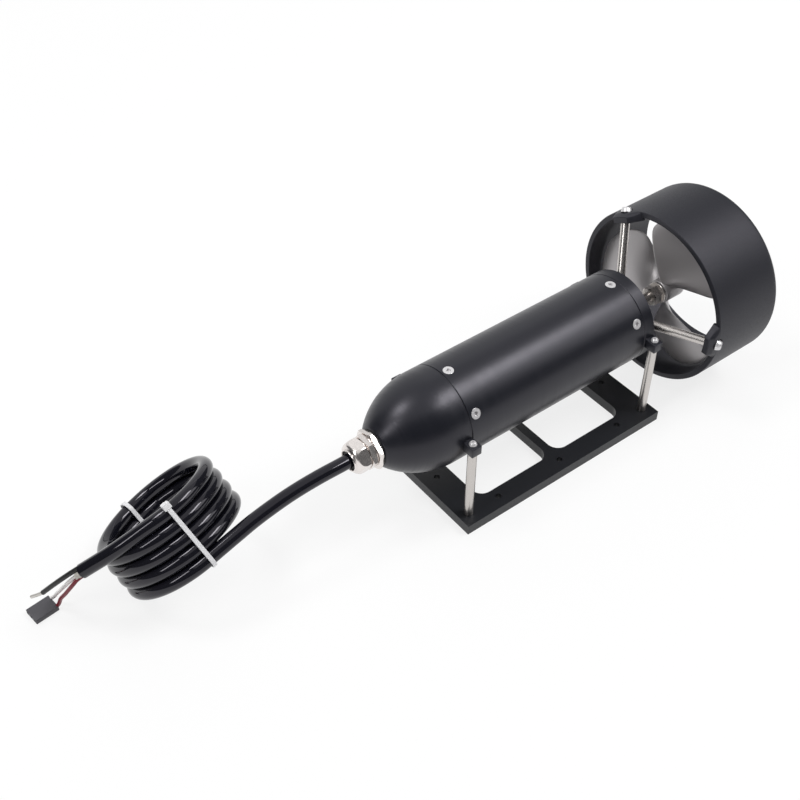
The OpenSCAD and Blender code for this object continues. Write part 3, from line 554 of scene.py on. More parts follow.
outside = [(x, ogive(x)) for x in [NOSE_X0 + run * k / 40 for k in range(41)]]
inside = [(x, min(CAVITY_R, ogive(x, NOSE_WALL))) for x in [BAND_X - CAVITY_L * k / 20 for k in range(21)]]
spigot = [(TUBE_X0, TUBE_R), (TUBE_X0, SPIGOT_R), (TUBE_X0 + SPIGOT_L, SPIGOT_R),
          (TUBE_X0 + SPIGOT_L, CAVITY_R)]
nose_section = [(NOSE_X0, GLAND_HOLE_R)] + outside + spigot + inside + [(BAND_X - CAVITY_L, GLAND_HOLE_R)]
nose_mesh = with_lugs(spun("nose_turned", nose_section, ease=SEAM_EASE, step=1.5), -POST_X)
link_piece("nose_turned", nose_mesh, ["nose_cone"], turned_black)

# %% [markdown]
# The tail cap ends in a cone that is square to the struts. Three countersunk screws hold the motor from
# behind.

# %% Tail cap
CAP_X1, BOSS_R, BOSS_L, STRUT_LEAN = 54.75, 12.4, 5.2, 25.6
SEAL_X, SEAL_R, SHAFT_HOLE_R = 51.45, 5.55, 3
MOTOR_SCREW_R, MOTOR_SCREW_D, MOTOR_HEAD_D = 15.272, 3.0, 5.5
boss_x, spigot_x = CAP_X1 + BOSS_L, TUBE_X1 - SPIGOT_L
boss_end_r = BOSS_R - BOSS_L * tan(radians(STRUT_LEAN))
tail_section = [(TUBE_X1, TUBE_R), (CAP_X1, TUBE_R), (CAP_X1, BOSS_R), (boss_x, boss_end_r), (boss_x, SEAL_R),
                (SEAL_X, SEAL_R), (SEAL_X, SHAFT_HOLE_R), (spigot_x, SHAFT_HOLE_R), (spigot_x, SPIGOT_R),
                (TUBE_X1, SPIGOT_R)]
seats = bmesh.new()
for degrees in (0, 120, 240):
    add_pin(seats, outward_frame(CAP_X1, MOTOR_SCREW_R, degrees, lean=90),
            countersink(MOTOR_SCREW_D, MOTOR_HEAD_D, depth=9))
tail_mesh = with_lugs(with_cuts(spun("tail_cap_turned", tail_section, ease=SEAM_EASE), seats), POST_X)
link_piece("tail_cap_turned", tail_mesh, ["tail_cap"], turned_black)

# %% [markdown]
# The duct is a short wide ring with a rounded trailing edge. Three ears, stretches of a second section
# that draw back at both ends, reach forward from its rim to the struts, and flat seats for the strut
# screws are cut into them.

# %% Duct ring and ears
DUCT_X0, DUCT_X1, DUCT_R, DUCT_BORE_R, ROUND = 73.55, 112.15, 41.5, 38.0, 3.0
LIP_L, LIP_H = 5, 0.9
EAR_X0, EAR_X1, EAR_R, EAR_DROP, EAR_CUT, EAR_W, EAR_FRONT = 68.15, 74.75, 37.5, 0.05, 1.2, 17.0, 9.0
STRUT_ANGLES = (60, 180, 300)
QUARTER = [radians(10 * k) for k in range(10)]
trailing = [(DUCT_X1 - ROUND * (1 - sin(a)), DUCT_R - ROUND * (1 - cos(a))) for a in QUARTER]
duct_section = ([(DUCT_X0 + LIP_L, DUCT_BORE_R), (DUCT_X0, DUCT_BORE_R + LIP_H), (DUCT_X0, DUCT_R)] + trailing
                + [(DUCT_X1, DUCT_BORE_R)])


def add_ear(bm, degrees, steps=24):
    """An ear: rings side by side, square to the shaft's radius, that draw back to the rim at both ends."""
    rings = []
    for k in range(steps + 1):
        t = EAR_W * (k / steps - 0.5)
        back = max(0.0, min(1.0, (abs(t) - EAR_FRONT / 2) / (EAR_W / 2 - EAR_FRONT / 2)))
        x0 = EAR_X0 + (DUCT_X0 - EAR_X0) * back
        cut = min(EAR_CUT, 0.35 * (EAR_X1 - x0))
        top = DUCT_R - EAR_DROP
        corners = eased_corners([(x0, EAR_R), (x0, DUCT_R - cut), (x0 + 2 * cut, top), (EAR_X1, top),
                                 (EAR_X1, EAR_R)], ease=0.25, step=100)
        angle = radians(degrees)
        rings.append([bm.verts.new(shaft_point(x, r, angle + asin(t / r))) for x, r in corners])
    loft(bm, rings)


# %% Duct with its seats
def gathered(name, meshes, mat, node, sharp=18, body="housing"):
    """Several closed meshes as one piece that stands for a node."""
    bm = bmesh.new()
    for mesh in meshes:
        bm.from_mesh(mesh)
    link_piece(name, closed_mesh(name, bm, sharp), [node], mat, body)


STRUT_X0, SEAT_R, SEAT_WIDTH = 53.15, 41.0, 5.6
seat_x = STRUT_X0 + SEAT_R * tan(radians(STRUT_LEAN))
ears = bmesh.new()
for degrees in STRUT_ANGLES:
    add_ear(ears, degrees)
duct_parts = []
for part in (spun("duct_turned", duct_section, ease=0.25, segments=256), closed_mesh("ears", ears)):
    seats = bmesh.new()
    for degrees in STRUT_ANGLES:
        add_pin(seats, outward_frame(seat_x, SEAT_R, degrees, lean=STRUT_LEAN),
                [(0, SEAT_WIDTH / 2), (4, SEAT_WIDTH / 2)])
    duct_parts.append(with_cuts(part, seats))
gathered("duct_turned", duct_parts, blasted_black, "duct", sharp=28)

# %% [markdown]
# ## Flat pieces
#
# The base plate, the shaft and the ties keep the shape of their solids, and only need their edges eased.
# A copy of a solid's mesh is merged, its flat areas are joined into single faces, and the sharp edges are
# bevelled.

# %% Ease the edges of solids
def with_flat_faces(mesh):
    """The mesh with its normals weighted by area, so that large faces look flat beside their small bevels."""
    work = in_scene(mesh)
    weigh = work.modifiers.new("weigh", "WEIGHTED_NORMAL")
    weigh.weight = 100
    weigh.keep_sharp = True
    return plain_mesh(work, mesh.name)


def eased(node, width, mat, body="housing", segments=2, angle=30):
    """A copy of a solid with rounded edges."""
    bm = bmesh.new()
    bm.from_mesh(nodes[node].data)
    bmesh.ops.remove_doubles(bm, verts=bm.verts, dist=2e-6)
    bmesh.ops.dissolve_limit(bm, angle_limit=radians(0.6), verts=bm.verts, edges=bm.edges)
    sharp = [e for e in bm.edges if e.is_manifold and e.calc_face_angle(0) > radians(angle)]
    bmesh.ops.bevel(bm, geom=sharp, offset=width * MM, segments=segments, profile=0.5, affect="EDGES",
                    clamp_overlap=True)
    mesh = closed_mesh(node + "_eased", bm, sharp=50)
    return link_piece(node + "_eased", with_flat_faces(mesh), [node], mat, body)


eased("base_plate", 0.3, milled_black)
eased("motor_shaft", 0.4, rod_steel, body="rotor")
ties = [eased(node, 0.2, white_nylon) for node in ("near_cable_tie", "far_cable_tie")]

# %% [markdown]
# ## Rods
#
# Posts and struts are drawn steel rods with a small chamfer at each end. A rod is a pin along its own z
# axis, made by the helper that made the cutters, and set down where it stands.

# %% Posts and struts
ROD_R, ROD_EASE, PLATE_T, LUG_BOTTOM = 2.0, 0.2, 5.0, 42.0
STRUT_S0, STRUT_S1 = 8.6, 43.02


def rod(node, place, low, high):
    """A rod between two heights along the z axis of its place."""
    bm = bmesh.new()
    end_r = ROD_R - ROD_EASE
    stations = [(low, end_r), (low + ROD_EASE, ROD_R), (high - ROD_EASE, ROD_R), (high, end_r)]
    add_pin(bm, place, stations, sides=64)
    link_piece(node + "_drawn", closed_mesh(node + "_drawn", bm), [node], rod_steel)


for node, x, y in (("post_front_near", -POST_X, -POST_Y), ("post_front_far", -POST_X, POST_Y),
                   ("post_rear_near", POST_X, -POST_Y), ("post_rear_far", POST_X, POST_Y)):
    rod(node, Matrix.Translation(Vector((x, y, 0)) * MM), PLATE_T, LUG_BOTTOM)
for node, degrees in zip(("strut_upper", "strut_near", "strut_lower"), STRUT_ANGLES):
    rod(node, outward_frame(STRUT_X0, 0, degrees, lean=STRUT_LEAN), STRUT_S0, STRUT_S1)

# %% [markdown]
# ## Screws
#
# Twenty-six screws in six patterns: the screws repeat, so Geometry Nodes trees place them. First comes
# one screw of each kind, lofted from rings of 24 points. The last rings are hexagons that go down into
# the head: the socket for the key.

# %% One screw of each kind
def hexagon(af, degrees):
    """Distance from the middle of a hexagon to its side, in a direction."""
    return af / 2 / cos(radians((degrees + 30) % 60 - 30))


def screw_mesh(name, stations, socket_af, socket_depth, sides=24):
    """A screw along z from stations of (height, radius), with a hexagon socket in its top."""
    angles = [360 * k / sides for k in range(sides)]
    rings = [[(r, h)] * sides for h, r in stations]
    top = stations[-1][0]
    rings += [[(hexagon(socket_af, a), h) for a in angles] for h in (top, top - socket_depth)]
    bm = bmesh.new()
    loft(bm, [[bm.verts.new(Vector((r * cos(radians(a)), r * sin(radians(a)), h)) * MM)
               for a, (r, h) in zip(angles, ring)] for ring in rings])
    return closed_mesh(name, bm)


def countersunk(name, d, head_d, length, socket_af):
    """A countersunk screw whose flat top is at z = 0."""
    head = (head_d - d) / 2
    stations = [(-length, d / 2), (-head, d / 2), (-0.12, head_d / 2 - 0.1), (-0.05, head_d / 2 - 0.02),
                (0, head_d / 2 - 0.1)]
    return screw_mesh(name, stations, socket_af, socket_depth=0.9 * head)


cover_screw = countersunk("cover_screw", SCREW_D, SCREW_HEAD_D, length=5.2, socket_af=2.0)
motor_screw = countersunk("motor_screw", MOTOR_SCREW_D, MOTOR_HEAD_D, length=22, socket_af=2.2)
plate_screw = countersunk("plate_screw", d=2.0, head_d=3.8, length=11, socket_af=1.5)
lug_head = [(-10.5, 1), (0, 1), (0, 1.66), (0.25, 1.7), (0.55, 1.6), (0.95, 1.42), (1.25, 1.15), (1.38, 0.95)]
lug_screw = screw_mesh("lug_screw", lug_head, socket_af=1.3, socket_depth=0.7)
duct_head = [(-8, 1.25), (0, 1.25), (0, 2.45), (0.15, 2.5), (0.6, 2.38), (1.5, 2.15), (2.0, 1.9), (2.28, 1.6)]
duct_screw = screw_mesh("duct_screw", duct_head, socket_af=2.4, socket_depth=1.2)
print("screws of", len(cover_screw.polygons), "to", len(duct_screw.polygons), "faces")

# %% [markdown]
# All trees end in the same way: a piece is copied to points, the copies are made real and moved to
# their place, and they get their finish. That end and the start of a tree are helpers.

# %% Start and end of a tree
def new_tree(name, **inputs):
    """A Geometry Nodes tree with named inputs, a call that adds a node to it, and what its inputs give."""
    tree = bpy.data.node_groups.new(name, "GeometryNodeTree")
    for way in ("INPUT", "OUTPUT"):
        tree.interface.new_socket("Geometry", in_out=way, socket_type="NodeSocketGeometry")
    for label, kind in inputs.items():
        tree.interface.new_socket(label.replace("_", " "), in_out="INPUT", socket_type="NodeSocket" + kind)
    add = partial(add_node, tree)
    return tree, add, add("NodeGroupInput").outputs


def end_tree(tree, add, given, points, rotation, shift, **turned):
    """Copies on points, made real, moved to their place and given their finish."""
    copies = add("GeometryNodeInstanceOnPoints",
                 {"Points": points, "Instance": given["Geometry"], "Rotation": rotation})
    real = add("GeometryNodeRealizeInstances", {"Geometry": copies})
    moved = add("GeometryNodeTransform", {"Geometry": real, "Translation": shift}, **turned)
    dressed = add("GeometryNodeSetMaterial", {"Geometry": moved, "Material": given["Finish"]})
    add("NodeGroupOutput", {"Geometry": dressed})
    print(tree.name, "tree of", len(tree.nodes), "nodes")


# %% [markdown]
# The tree for a ring of screws starts from a circle of points. The screw turns its own z axis to the
# outward direction of each point, or leans it aft, and at the end the whole ring is turned so that its
# axis lies along the shaft. Other ways are a loop over copies or an Array modifier round an empty; the
# tree keeps count, radius and lean as plain inputs.

# %% Tree for a ring of screws
ring_tree, add, given = new_tree("screw_ring", Count="Int", Radius="Float", Station="Float",
                                 Axis_height="Float", Start_angle="Float", Lean="Float", Finish="Material")
ring = add("GeometryNodeMeshCircle", {"Vertices": given["Count"], "Radius": given["Radius"]})
start = add("ShaderNodeCombineXYZ", {"Z": given["Start angle"]})
placed = add("GeometryNodeTransform", {"Geometry": ring, "Rotation": start})
spot = add("GeometryNodeInputPosition")
outward = add("ShaderNodeVectorMath", {0: spot}, operation="NORMALIZE")
across = add("ShaderNodeMath", {0: given["Lean"]}, operation="COSINE")
along = add("ShaderNodeMath", {0: given["Lean"]}, operation="SINE")
flat_part = add("ShaderNodeVectorMath", {0: outward, "Scale": across}, operation="SCALE")
aft_part = add("ShaderNodeCombineXYZ", {"Z": along})
aim = add("ShaderNodeVectorMath", {0: flat_part, 1: aft_part}, operation="ADD")
facing = add("FunctionNodeAlignRotationToVector", {"Vector": aim}, axis="Z")
shift = add("ShaderNodeCombineXYZ", {"X": given["Station"], "Z": given["Axis height"]})
end_tree(ring_tree, add, given, placed, facing, shift, Rotation=(pi / 2, 0, pi / 2))

# %% [markdown]
# The posts stand at the corners of a rectangle, so their screws come from a grid of two by two points.
# The screws under the plate point down, which is a half turn about X.

# %% Tree for a rectangle of screws
grid_tree, add, given = new_tree("screw_rectangle", Spacing_X="Float", Spacing_Y="Float", Height="Float",
                                 Turn="Float", Finish="Material")
grid = add("GeometryNodeMeshGrid", {"Size X": given["Spacing X"], "Size Y": given["Spacing Y"]},
           Vertices_X=2, Vertices_Y=2)
flip = add("ShaderNodeCombineXYZ", {"X": given["Turn"]})
raised = add("ShaderNodeCombineXYZ", {"Z": given["Height"]})
end_tree(grid_tree, add, given, grid, flip, raised)


# %% Run the trees
def grown(name, mesh, tree, **values):
    """The plain mesh that a tree makes of a mesh, with its inputs set by their identifiers."""
    seed = in_scene(mesh, name)
    modifier = seed.modifiers.new(tree.name, "NODES")
    modifier.node_group = tree
    sockets = {item.name: item.identifier for item in tree.interface.items_tree if item.in_out == "INPUT"}
    for key, value in values.items():
        modifier[sockets[key.replace("_", " ")]] = value
    return plain_mesh(seed, name)


def screw_ring(name, mesh, node, station, radius, start, lean=0.0, count=6):
    """A ring of screws that stands for a node."""
    plain = grown(name, mesh, ring_tree, Count=count, Radius=radius * MM, Station=station * MM,
                  Axis_height=AXIS_H * MM, Start_angle=radians(start), Lean=radians(lean),
                  Finish=bright_steel)
    link_piece(name, plain, [node])


screw_ring("nose_cover_screws", cover_screw, "nose_screws", NOSE_SCREW_X, TUBE_R - SCREW_SINK, 30)
screw_ring("tail_cover_screws", cover_screw, "tail_screws", TAIL_SCREW_X, TUBE_R - SCREW_SINK, 30)
screw_ring("motor_fixing_screws", motor_screw, "motor_screws", CAP_X1, MOTOR_SCREW_R, 0, lean=90, count=3)
screw_ring("strut_screws", duct_screw, "duct_screws", seat_x, SEAT_R, 60, lean=STRUT_LEAN, count=3)
for name, mesh, node, height, half_turn in (("lug_button_screws", lug_screw, "lug_screws", LUG_TOP, 0),
                                            ("plate_flat_screws", plate_screw, "plate_screws", 0, 180)):
    plain = grown(name, mesh, grid_tree, Spacing_X=2 * POST_X * MM, Spacing_Y=2 * POST_Y * MM,
                  Height=height * MM, Turn=radians(half_turn), Finish=bright_steel)
    link_piece(name, plain, [node])

# %% [markdown]
# ## Propeller
#
# A blade follows a rule: every point lies on a helix, its leading and trailing edges are two curves of
# angle over radius, and its thickness falls towards the edges. One blade is built as two fine grids that
# meet in a rounded rim, and a tree sets three of them round the hub. Sculpting one blade would also work,
# but the rule keeps the pitch true.

# %% One blade
HUB_R, HUB_X0, HUB_X1, BLADE_ROOT = 5.6, 79.2, 92.2, 1.2
BLADE_MID_X, BLADE_TIP_R, BLADE_PITCH = 82.6, 37.2, 44.0
LEAD_A, LEAD_ROOT, LEAD_FADE, LEAD_TIP = -46, 0.48, 4.5, 9
TRAIL_A, TRAIL_TIP, TRAIL_FROM, TRAIL_RUN = 44, 38, 0.45, 0.55
ROOT_T, THINNING, EDGE_T, SIDE_POWER, TIP_POWER = 2.6, 1.4, 0.6, 30, 40


def blade_edges(share):
    """Leading and trailing angle at a share of the way from hub to tip."""
    lead_a = LEAD_A * (1 - LEAD_ROOT * exp(-LEAD_FADE * share)) + LEAD_TIP * max(share, 0) ** 10
    trail_a = TRAIL_A - TRAIL_TIP * max(0.0, (share - TRAIL_FROM) / TRAIL_RUN) ** 3
    return lead_a, trail_a


def blade_point(side, r, v):
    """A point on one side of the blade, at a radius and a share of the way from its leading edge."""
    share = (r - HUB_R) / (BLADE_TIP_R - HUB_R)
    lead_a, trail_a = blade_edges(share)
    turned = lead_a + (trail_a - lead_a) * v
    a = radians(turned)
    share = max(0.0, share)
    full = EDGE_T + (ROOT_T - THINNING * share - EDGE_T) * (1 - (2 * v - 1) ** 2)
    rim = (sqrt(max(0.0, 1 - abs(2 * v - 1) ** SIDE_POWER))
           * sqrt(max(0.0, 1 - share ** TIP_POWER)))
    x = BLADE_MID_X + BLADE_PITCH * turned / 360 + side * full * rim / 2
    return x * MM, r * cos(a) * MM, r * sin(a) * MM


def blade_mesh(rows=40, cols=44):
    """One blade about the shaft axis, with its middle towards +Y."""
    bm = bmesh.new()
    roots = []
    radii = [HUB_R - BLADE_ROOT + (BLADE_TIP_R - HUB_R + BLADE_ROOT) * sin(pi / 2 * i / rows)
             for i in range(rows + 1)]
    shares = [0.5 - 0.5 * cos(pi * j / cols) for j in range(cols + 1)]
    for side in (1, -1):
        grid_rows = [[bm.verts.new(blade_point(side, r, v)) for v in shares] for r in radii]
        for low, high in zip(grid_rows, grid_rows[1:]):
            for j in range(cols):
                bm.faces.new((low[j], low[j + 1], high[j + 1], high[j]))
        roots.append(grid_rows[0])
    for j in range(cols):
        bm.faces.new((roots[0][j], roots[0][j + 1], roots[1][j + 1], roots[1][j]))
    bmesh.ops.remove_doubles(bm, verts=bm.verts, dist=1e-6)
    return closed_mesh("blade", bm, sharp=70)


blade = blade_mesh()
print("blade", len(blade.polygons), "faces")

# %% Tree for the blades
blade_tree, add, given = new_tree("blade_ring", Count="Int", Start_angle="Float", Axis_height="Float",
                                  Finish="Material")
spots = add("GeometryNodePoints", {"Count": given["Count"]})
index = add("GeometryNodeInputIndex")
share = add("ShaderNodeMath", {0: index, 1: given["Count"]}, operation="DIVIDE")
angle = add("ShaderNodeMath", {0: share, 2: given["Start angle"]}, operation="MULTIPLY_ADD")
angle.inputs[1].default_value = 2 * pi
about_x = add("ShaderNodeCombineXYZ", {"X": angle})
raised = add("ShaderNodeCombineXYZ", {"Z": given["Axis height"]})
end_tree(blade_tree, add, given, spots, about_x, raised)

# %% Blades on their hub
SHAFT_FIT_R, TAPER_L, TAPER = 2.55, 2, 1
blades = grown("blades", blade, blade_tree, Count=3, Start_angle=radians(120), Axis_height=AXIS_H * MM,
               Finish=blade_steel)
hub = spun("hub", [(HUB_X0, SHAFT_FIT_R), (HUB_X0, HUB_R), (HUB_X1 - TAPER_L, HUB_R),
                   (HUB_X1, HUB_R - TAPER), (HUB_X1, SHAFT_FIT_R)], ease=0.4, segments=96)
gathered("propeller_polished", [blades, hub], blade_steel, "propeller", sharp=60,
         body="rotor")

# %% [markdown]
# ## Hexagons with turned chamfers
#
# Nuts and glands start as hexagon bar, and the lathe then takes their corners off. A Boolean does the
# same: the part of a hexagonal prism that is also inside a turned shape. Chamfers cut into the flats
# leave the curved edges that every real nut shows.

# %% Turn hexagon bar
def hex_turned(name, section, x0, x1, af, spin=0.0):
    """What a hexagonal prism and a turned ring have in common."""
    bm = bmesh.new()
    corner = af / 2 / cos(pi / 6)
    angles = [radians(60 * k + 30 + spin) for k in range(6)]
    loft(bm, [[bm.verts.new(shaft_point(x, corner, a)) for a in angles] for x in (x0 - 1, x1 + 1)])
    ring = spun(name, section, ease=0.08, step=20, segments=120)
    return combined(ring, closed_mesh("bar", bm), "INTERSECT", sharp=18)


# %% [markdown]
# The gland's body has a wide thin hexagon against the nose and a smaller one behind it. The cap nut is a
# hexagon that is smaller still, rounded to a dome with a rolled mouth, in which the rubber insert shows.

# %% Gland body
FLANGE_SPIN, GRIP_SPIN, CAP_SPIN = 6.0, 30.0, 27.0
FLANGE_AF, GRIP_AF, CAP_AF = 15.4, 13.6, 13.0
NECK_X, FLANGE_X, HEX_X, STUB_X, STUB_L = -76.25, -83.95, -85.95, -88.85, 3.6
LEAD_HOLE_R, NECK_R, STUB_R, LAP_R, GROOVE_R, GROOVE_L = 3.5, 6.0, 5.05, 5.9, 6.6, 0.3
FLANGE_R, FLANGE_FACE_R, GRIP_R, GRIP_FACE_R, CHAMFER = 8.95, 8.2, 7.9, 6.9, 0.45
neck = spun("neck", [(NECK_X, LEAD_HOLE_R), (NECK_X, NECK_R), (STUB_X - STUB_L, NECK_R),
                     (STUB_X - STUB_L, STUB_R), (STUB_X, STUB_R), (STUB_X, LEAD_HOLE_R)],
            ease=0.2, segments=96)
flange_section = [(FLANGE_X, LAP_R), (FLANGE_X, FLANGE_FACE_R), (FLANGE_X - CHAMFER, FLANGE_R),
                  (HEX_X + CHAMFER, FLANGE_R), (HEX_X, FLANGE_FACE_R), (HEX_X, LAP_R)]
flange = hex_turned("flange", flange_section, HEX_X, FLANGE_X, FLANGE_AF, FLANGE_SPIN)
grip_x0, grip_x1 = HEX_X - GROOVE_L, STUB_X + 0.15
grip_section = [(grip_x0, LAP_R), (grip_x0, GRIP_FACE_R), (grip_x0 - CHAMFER, GRIP_R),
                (grip_x1 + 0.4, GRIP_R), (grip_x1, GRIP_FACE_R), (grip_x1, LAP_R)]
grip = hex_turned("grip", grip_section, STUB_X, HEX_X, GRIP_AF, GRIP_SPIN)
groove = spun("collar_ring", ring_section(HEX_X + 0.1, grip_x0, LAP_R, GROOVE_R), ease=0.03, segments=96)
gathered("gland_body_turned", [neck, flange, grip, groove], nickel_plate, "gland_body")

# %% Gland cap
CAP_FOOT_X, CAP_MOUTH_X, CAP_R, CAP_FACE_R, CAP_HOLE_R = -89.05, -95.85, 7.4, 6.6, 6.05
DOME_FROM, DOME_L, DOME_DROP = 1.9, 4.2, 2.5
MOUTH_FROM, MOUTH_R, MOUTH_HOLE_R, MOUTH_L, ROLL = 6.3, 4.85, 4.3, 0.8, 0.15
shoulder_x, seat_end = STUB_X - STUB_L - 0.05, CAP_MOUTH_X + MOUTH_L
dome = [(CAP_FOOT_X - DOME_FROM - DOME_L * sin(a), CAP_R - DOME_DROP * (1 - cos(a))) for a in QUARTER]
mouth = [(CAP_FOOT_X - MOUTH_FROM, MOUTH_R), (CAP_MOUTH_X + ROLL, MOUTH_R), (CAP_MOUTH_X, MOUTH_R - ROLL),
         (CAP_MOUTH_X, MOUTH_HOLE_R + ROLL), (CAP_MOUTH_X + ROLL, MOUTH_HOLE_R), (seat_end, MOUTH_HOLE_R),
         (seat_end, STUB_R)]
cap_section = ([(CAP_FOOT_X, CAP_HOLE_R), (CAP_FOOT_X, CAP_FACE_R), (CAP_FOOT_X - CHAMFER, CAP_R)] + dome
               + mouth + [(shoulder_x, STUB_R), (shoulder_x, CAP_HOLE_R)])
cap_nut = hex_turned("cap_nut", cap_section, CAP_MOUTH_X, CAP_FOOT_X, CAP_AF, CAP_SPIN)
gathered("gland_cap_turned", [cap_nut], nickel_plate, "gland_cap")

# %% [markdown]
# The drive collar in front of the propeller and the nut behind it are small steel hexagons on the shaft,
# each with a round step.

# %% Collar and nut
HEX_AF, CORNER_R, FACE_R, EDGE, LAP = 8.0, 4.7, 4.1, 0.4, 0.05
COLLAR_X0, STEP_X, STEP_L, STEP_R = 73.2, 78.2, 1, 5.2
NUT_STEP_X, NUT_X1, NUT_SEAT_R, NUT_STEP_R = 96.0, 97.2, 4.2, 3.65
drive = hex_turned("drive", [(COLLAR_X0, SHAFT_FIT_R), (COLLAR_X0, FACE_R), (COLLAR_X0 + EDGE, CORNER_R),
                             (STEP_X + LAP, CORNER_R), (STEP_X + LAP, SHAFT_FIT_R)],
                   COLLAR_X0, STEP_X, HEX_AF)
step_ring = spun("step_ring", ring_section(STEP_X, STEP_X + STEP_L, SHAFT_FIT_R, STEP_R), ease=0.15,
                 segments=96)
gathered("drive_collar_turned", [drive, step_ring], rod_steel, "drive_collar", body="rotor")
nut_hex = hex_turned("nut_hex", [(HUB_X1, SHAFT_FIT_R), (HUB_X1, NUT_SEAT_R), (HUB_X1 + EDGE, CORNER_R),
                                 (NUT_STEP_X - EDGE, CORNER_R), (NUT_STEP_X, FACE_R),
                                 (NUT_STEP_X, SHAFT_FIT_R)], HUB_X1, NUT_STEP_X, HEX_AF)
nut_ring = spun("nut_ring", ring_section(NUT_STEP_X - 0.1, NUT_X1, SHAFT_FIT_R, NUT_STEP_R), ease=0.3,
                segments=96)
gathered("propeller_nut_turned", [nut_hex, nut_ring], rod_steel, "propeller_nut", body="rotor")

# %% [markdown]
# ## Connector
#
# The three-way connector is a moulded block: rounded edges, three square sockets in its end, and three
# round holes behind, where the leads go in.

# %% Connector
CONNECTOR_AT, CONNECTOR_TURN, PIN_PITCH = Vector((-215.9, 42, 0)), radians(6.3), 2.54
SIZE = Vector((10.3, 7.6, 2.4))
SOCKET_L, SOCKET_W, SOCKET_Z, WIRE_HOLE_L, WIRE_HOLE_R = 6, 1.2, 0.6, 2, 1.0
bm = bmesh.new()
add_block(bm, (-SIZE.x / 2, -SIZE.y / 2, 0), (SIZE.x / 2, SIZE.y / 2, SIZE.z), ease=0.22)
pockets = bmesh.new()
for k in (-1, 0, 1):
    y = k * PIN_PITCH
    add_block(pockets, (-SIZE.x / 2 - 1, y - SOCKET_W / 2, SOCKET_Z),
              (-SIZE.x / 2 + SOCKET_L, y + SOCKET_W / 2, SOCKET_Z + SOCKET_W), ease=0.05)
    hole = Matrix.Translation(Vector((SIZE.x / 2 - WIRE_HOLE_L, y, SIZE.z / 2)) * MM)
    add_pin(pockets, hole @ Matrix.Rotation(pi / 2, 4, "Y"),
            [(0, WIRE_HOLE_R), (WIRE_HOLE_L + 1, WIRE_HOLE_R)], sides=24)
connector_mesh = with_cuts(closed_mesh("connector_moulded", bm), pockets)
connector_mesh.transform(Matrix.Translation(CONNECTOR_AT * MM) @ Matrix.Rotation(CONNECTOR_TURN, 4, "Z"))
connector = link_piece("connector_moulded", connector_mesh, ["connector"], grey_housing)

# %% [markdown]
# ## Finishes for the pieces that stay as they are
#
# The pieces inside the housing and the gland keep the shape of their solids, and only get their finish.

# %% Finish the inner pieces
for mat, names in ((seal_rubber, ("nose_o_ring", "tail_o_ring", "inner_shaft_seal", "outer_shaft_seal",
                                  "gland_washer", "gland_insert")),
                   (bare_aluminium, ("front_end_bell", "rear_end_bell", "controller_tray")),
                   (ground_steel, ("front_bearing", "rear_bearing", "rotor_core", "stator_core",
                                   "stator_sleeve")),
                   (wound_copper, ("stator_windings",)), (plated_magnet, ("rotor_magnet",)),
                   (green_board, ("controller_board",))):
    for name in names:
        nodes[name].data.materials.clear()
        nodes[name].data.materials.append(mat)
    print(mat.name, "on", len(names), "solids")

# %% [markdown]
# ## Floor and light
#
# A wide white floor is the whole background, because the camera looks down on it. In a studio the paper
# is lit on its own, so for the camera and for reflections most of its light is its own glow, and a small
# share still takes the object's shadow. A wide soft ceiling and a sheet behind the object are there for
# the reflections in steel and nickel. Two lamps aft make the long band on the tube and lighten the duct's
# side. Two on the left light the nose and the propeller. A dim world keeps what faces the viewer dark.

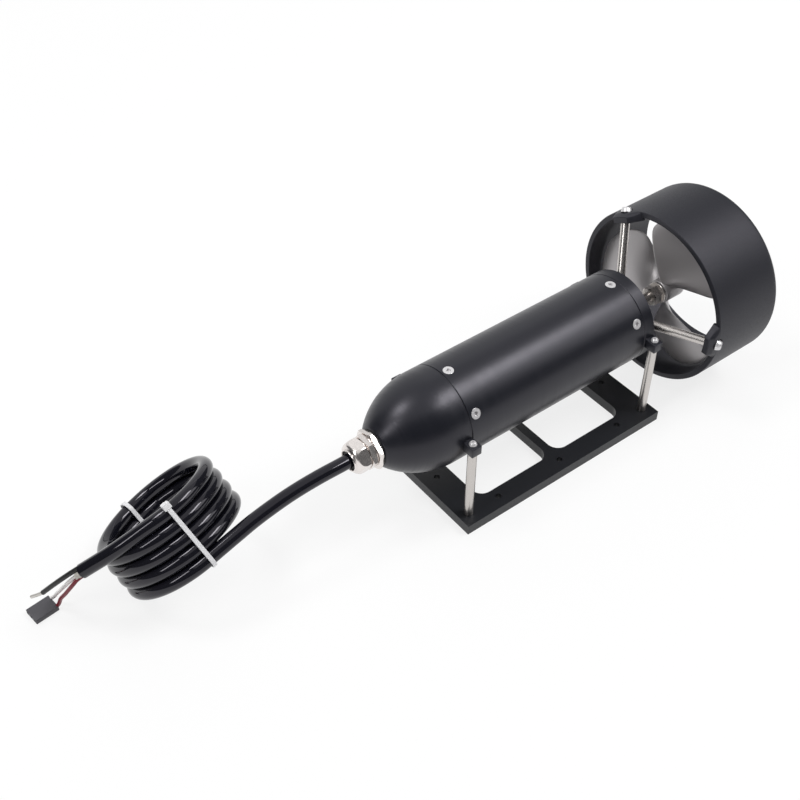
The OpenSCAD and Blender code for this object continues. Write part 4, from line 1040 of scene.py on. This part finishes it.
# %% Floor
FLOOR_REACH, GLOW_SHARE = 30.0, 0.8
floor_mesh = bpy.data.meshes.new("floor")
corners = [(x * FLOOR_REACH, y * FLOOR_REACH, 0) for x, y in ((-1, -1), (1, -1), (1, 1), (-1, 1))]
floor_mesh.from_pydata(corners, [], [(0, 1, 2, 3)])
floor_mat = bpy.data.materials.new("white_paper")
floor_mat.use_nodes = True
paper = floor_mat.node_tree
paper.nodes.clear()
add = partial(add_node, paper)
matt = add("ShaderNodeBsdfDiffuse", Color=(0.92, 0.92, 0.92, 1))
glow = add("ShaderNodeEmission", Color=(1, 1, 1, 1), Strength=1.0)
ray = add("ShaderNodeLightPath").outputs
seen = add("ShaderNodeMath", {0: ray["Is Camera Ray"], 1: ray["Is Glossy Ray"]}, operation="MAXIMUM")
through = add("ShaderNodeMath", {0: seen, 1: ray["Is Transmission Ray"]}, operation="MAXIMUM")
part = add("ShaderNodeMath", {0: through}, operation="MULTIPLY")
part.inputs[1].default_value = GLOW_SHARE
blend = add("ShaderNodeMixShader", {0: part, 1: matt, 2: glow})
add("ShaderNodeOutputMaterial", {"Surface": blend})
floor_mesh.materials.append(floor_mat)
floor = in_scene(floor_mesh, "floor")
print("floor material of", len(paper.nodes), "nodes")


# %% Lamps and world
def soft_lamp(name, place, aim, size, power):
    """A rectangular soft lamp that faces a point."""
    data = bpy.data.lights.new(name, "AREA")
    data.shape = "RECTANGLE"
    data.size, data.size_y = size
    data.energy = power
    lamp = in_scene(data, name)
    lamp.visible_camera = False
    away = (Vector(place) - Vector(aim)).normalized()
    lamp.matrix_world = Matrix.Translation(place) @ away.to_track_quat("Z", "Y").to_matrix().to_4x4()


soft_lamp("ceiling", (0.3, 0.4, 1.8), (0.3, 0.4, 0.0), (2.8, 2.8), 15)
soft_lamp("back_sheet", (0.4, 1.7, 0.8), (0.0, 0.0, 0.05), (3.0, 1.5), 10)
soft_lamp("aft_key", (0.68, -0.46, 1.38), (-0.02, 0, 0.03), (0.75, 0.4), 10)
soft_lamp("aft_low", (1.15, -0.75, 1.0), (0.06, 0, 0.05), (0.9, 0.7), 4)
soft_lamp("left_key", (-0.75, 0.55, 1.65), (-0.07, 0, 0.05), (0.5, 0.45), 8)
soft_lamp("left_strip", (-1.4, 0.0, 1.15), (0.05, 0, 0.05), (0.3, 0.9), 6)
world = bpy.data.worlds.new("studio")
world.use_nodes = True
world.node_tree.nodes["Background"].inputs["Color"].default_value = (0.9, 0.9, 0.92, 1)
world.node_tree.nodes["Background"].inputs["Strength"].default_value = 0.12
scene.world = world
print(len(bpy.data.lights), "lamps")

# %% [markdown]
# ## Size
#
# The dressed model has to stay inside the box of the solids; the cell below brings the view layer up to date.

# %% Sizes
bpy.context.view_layer.update()
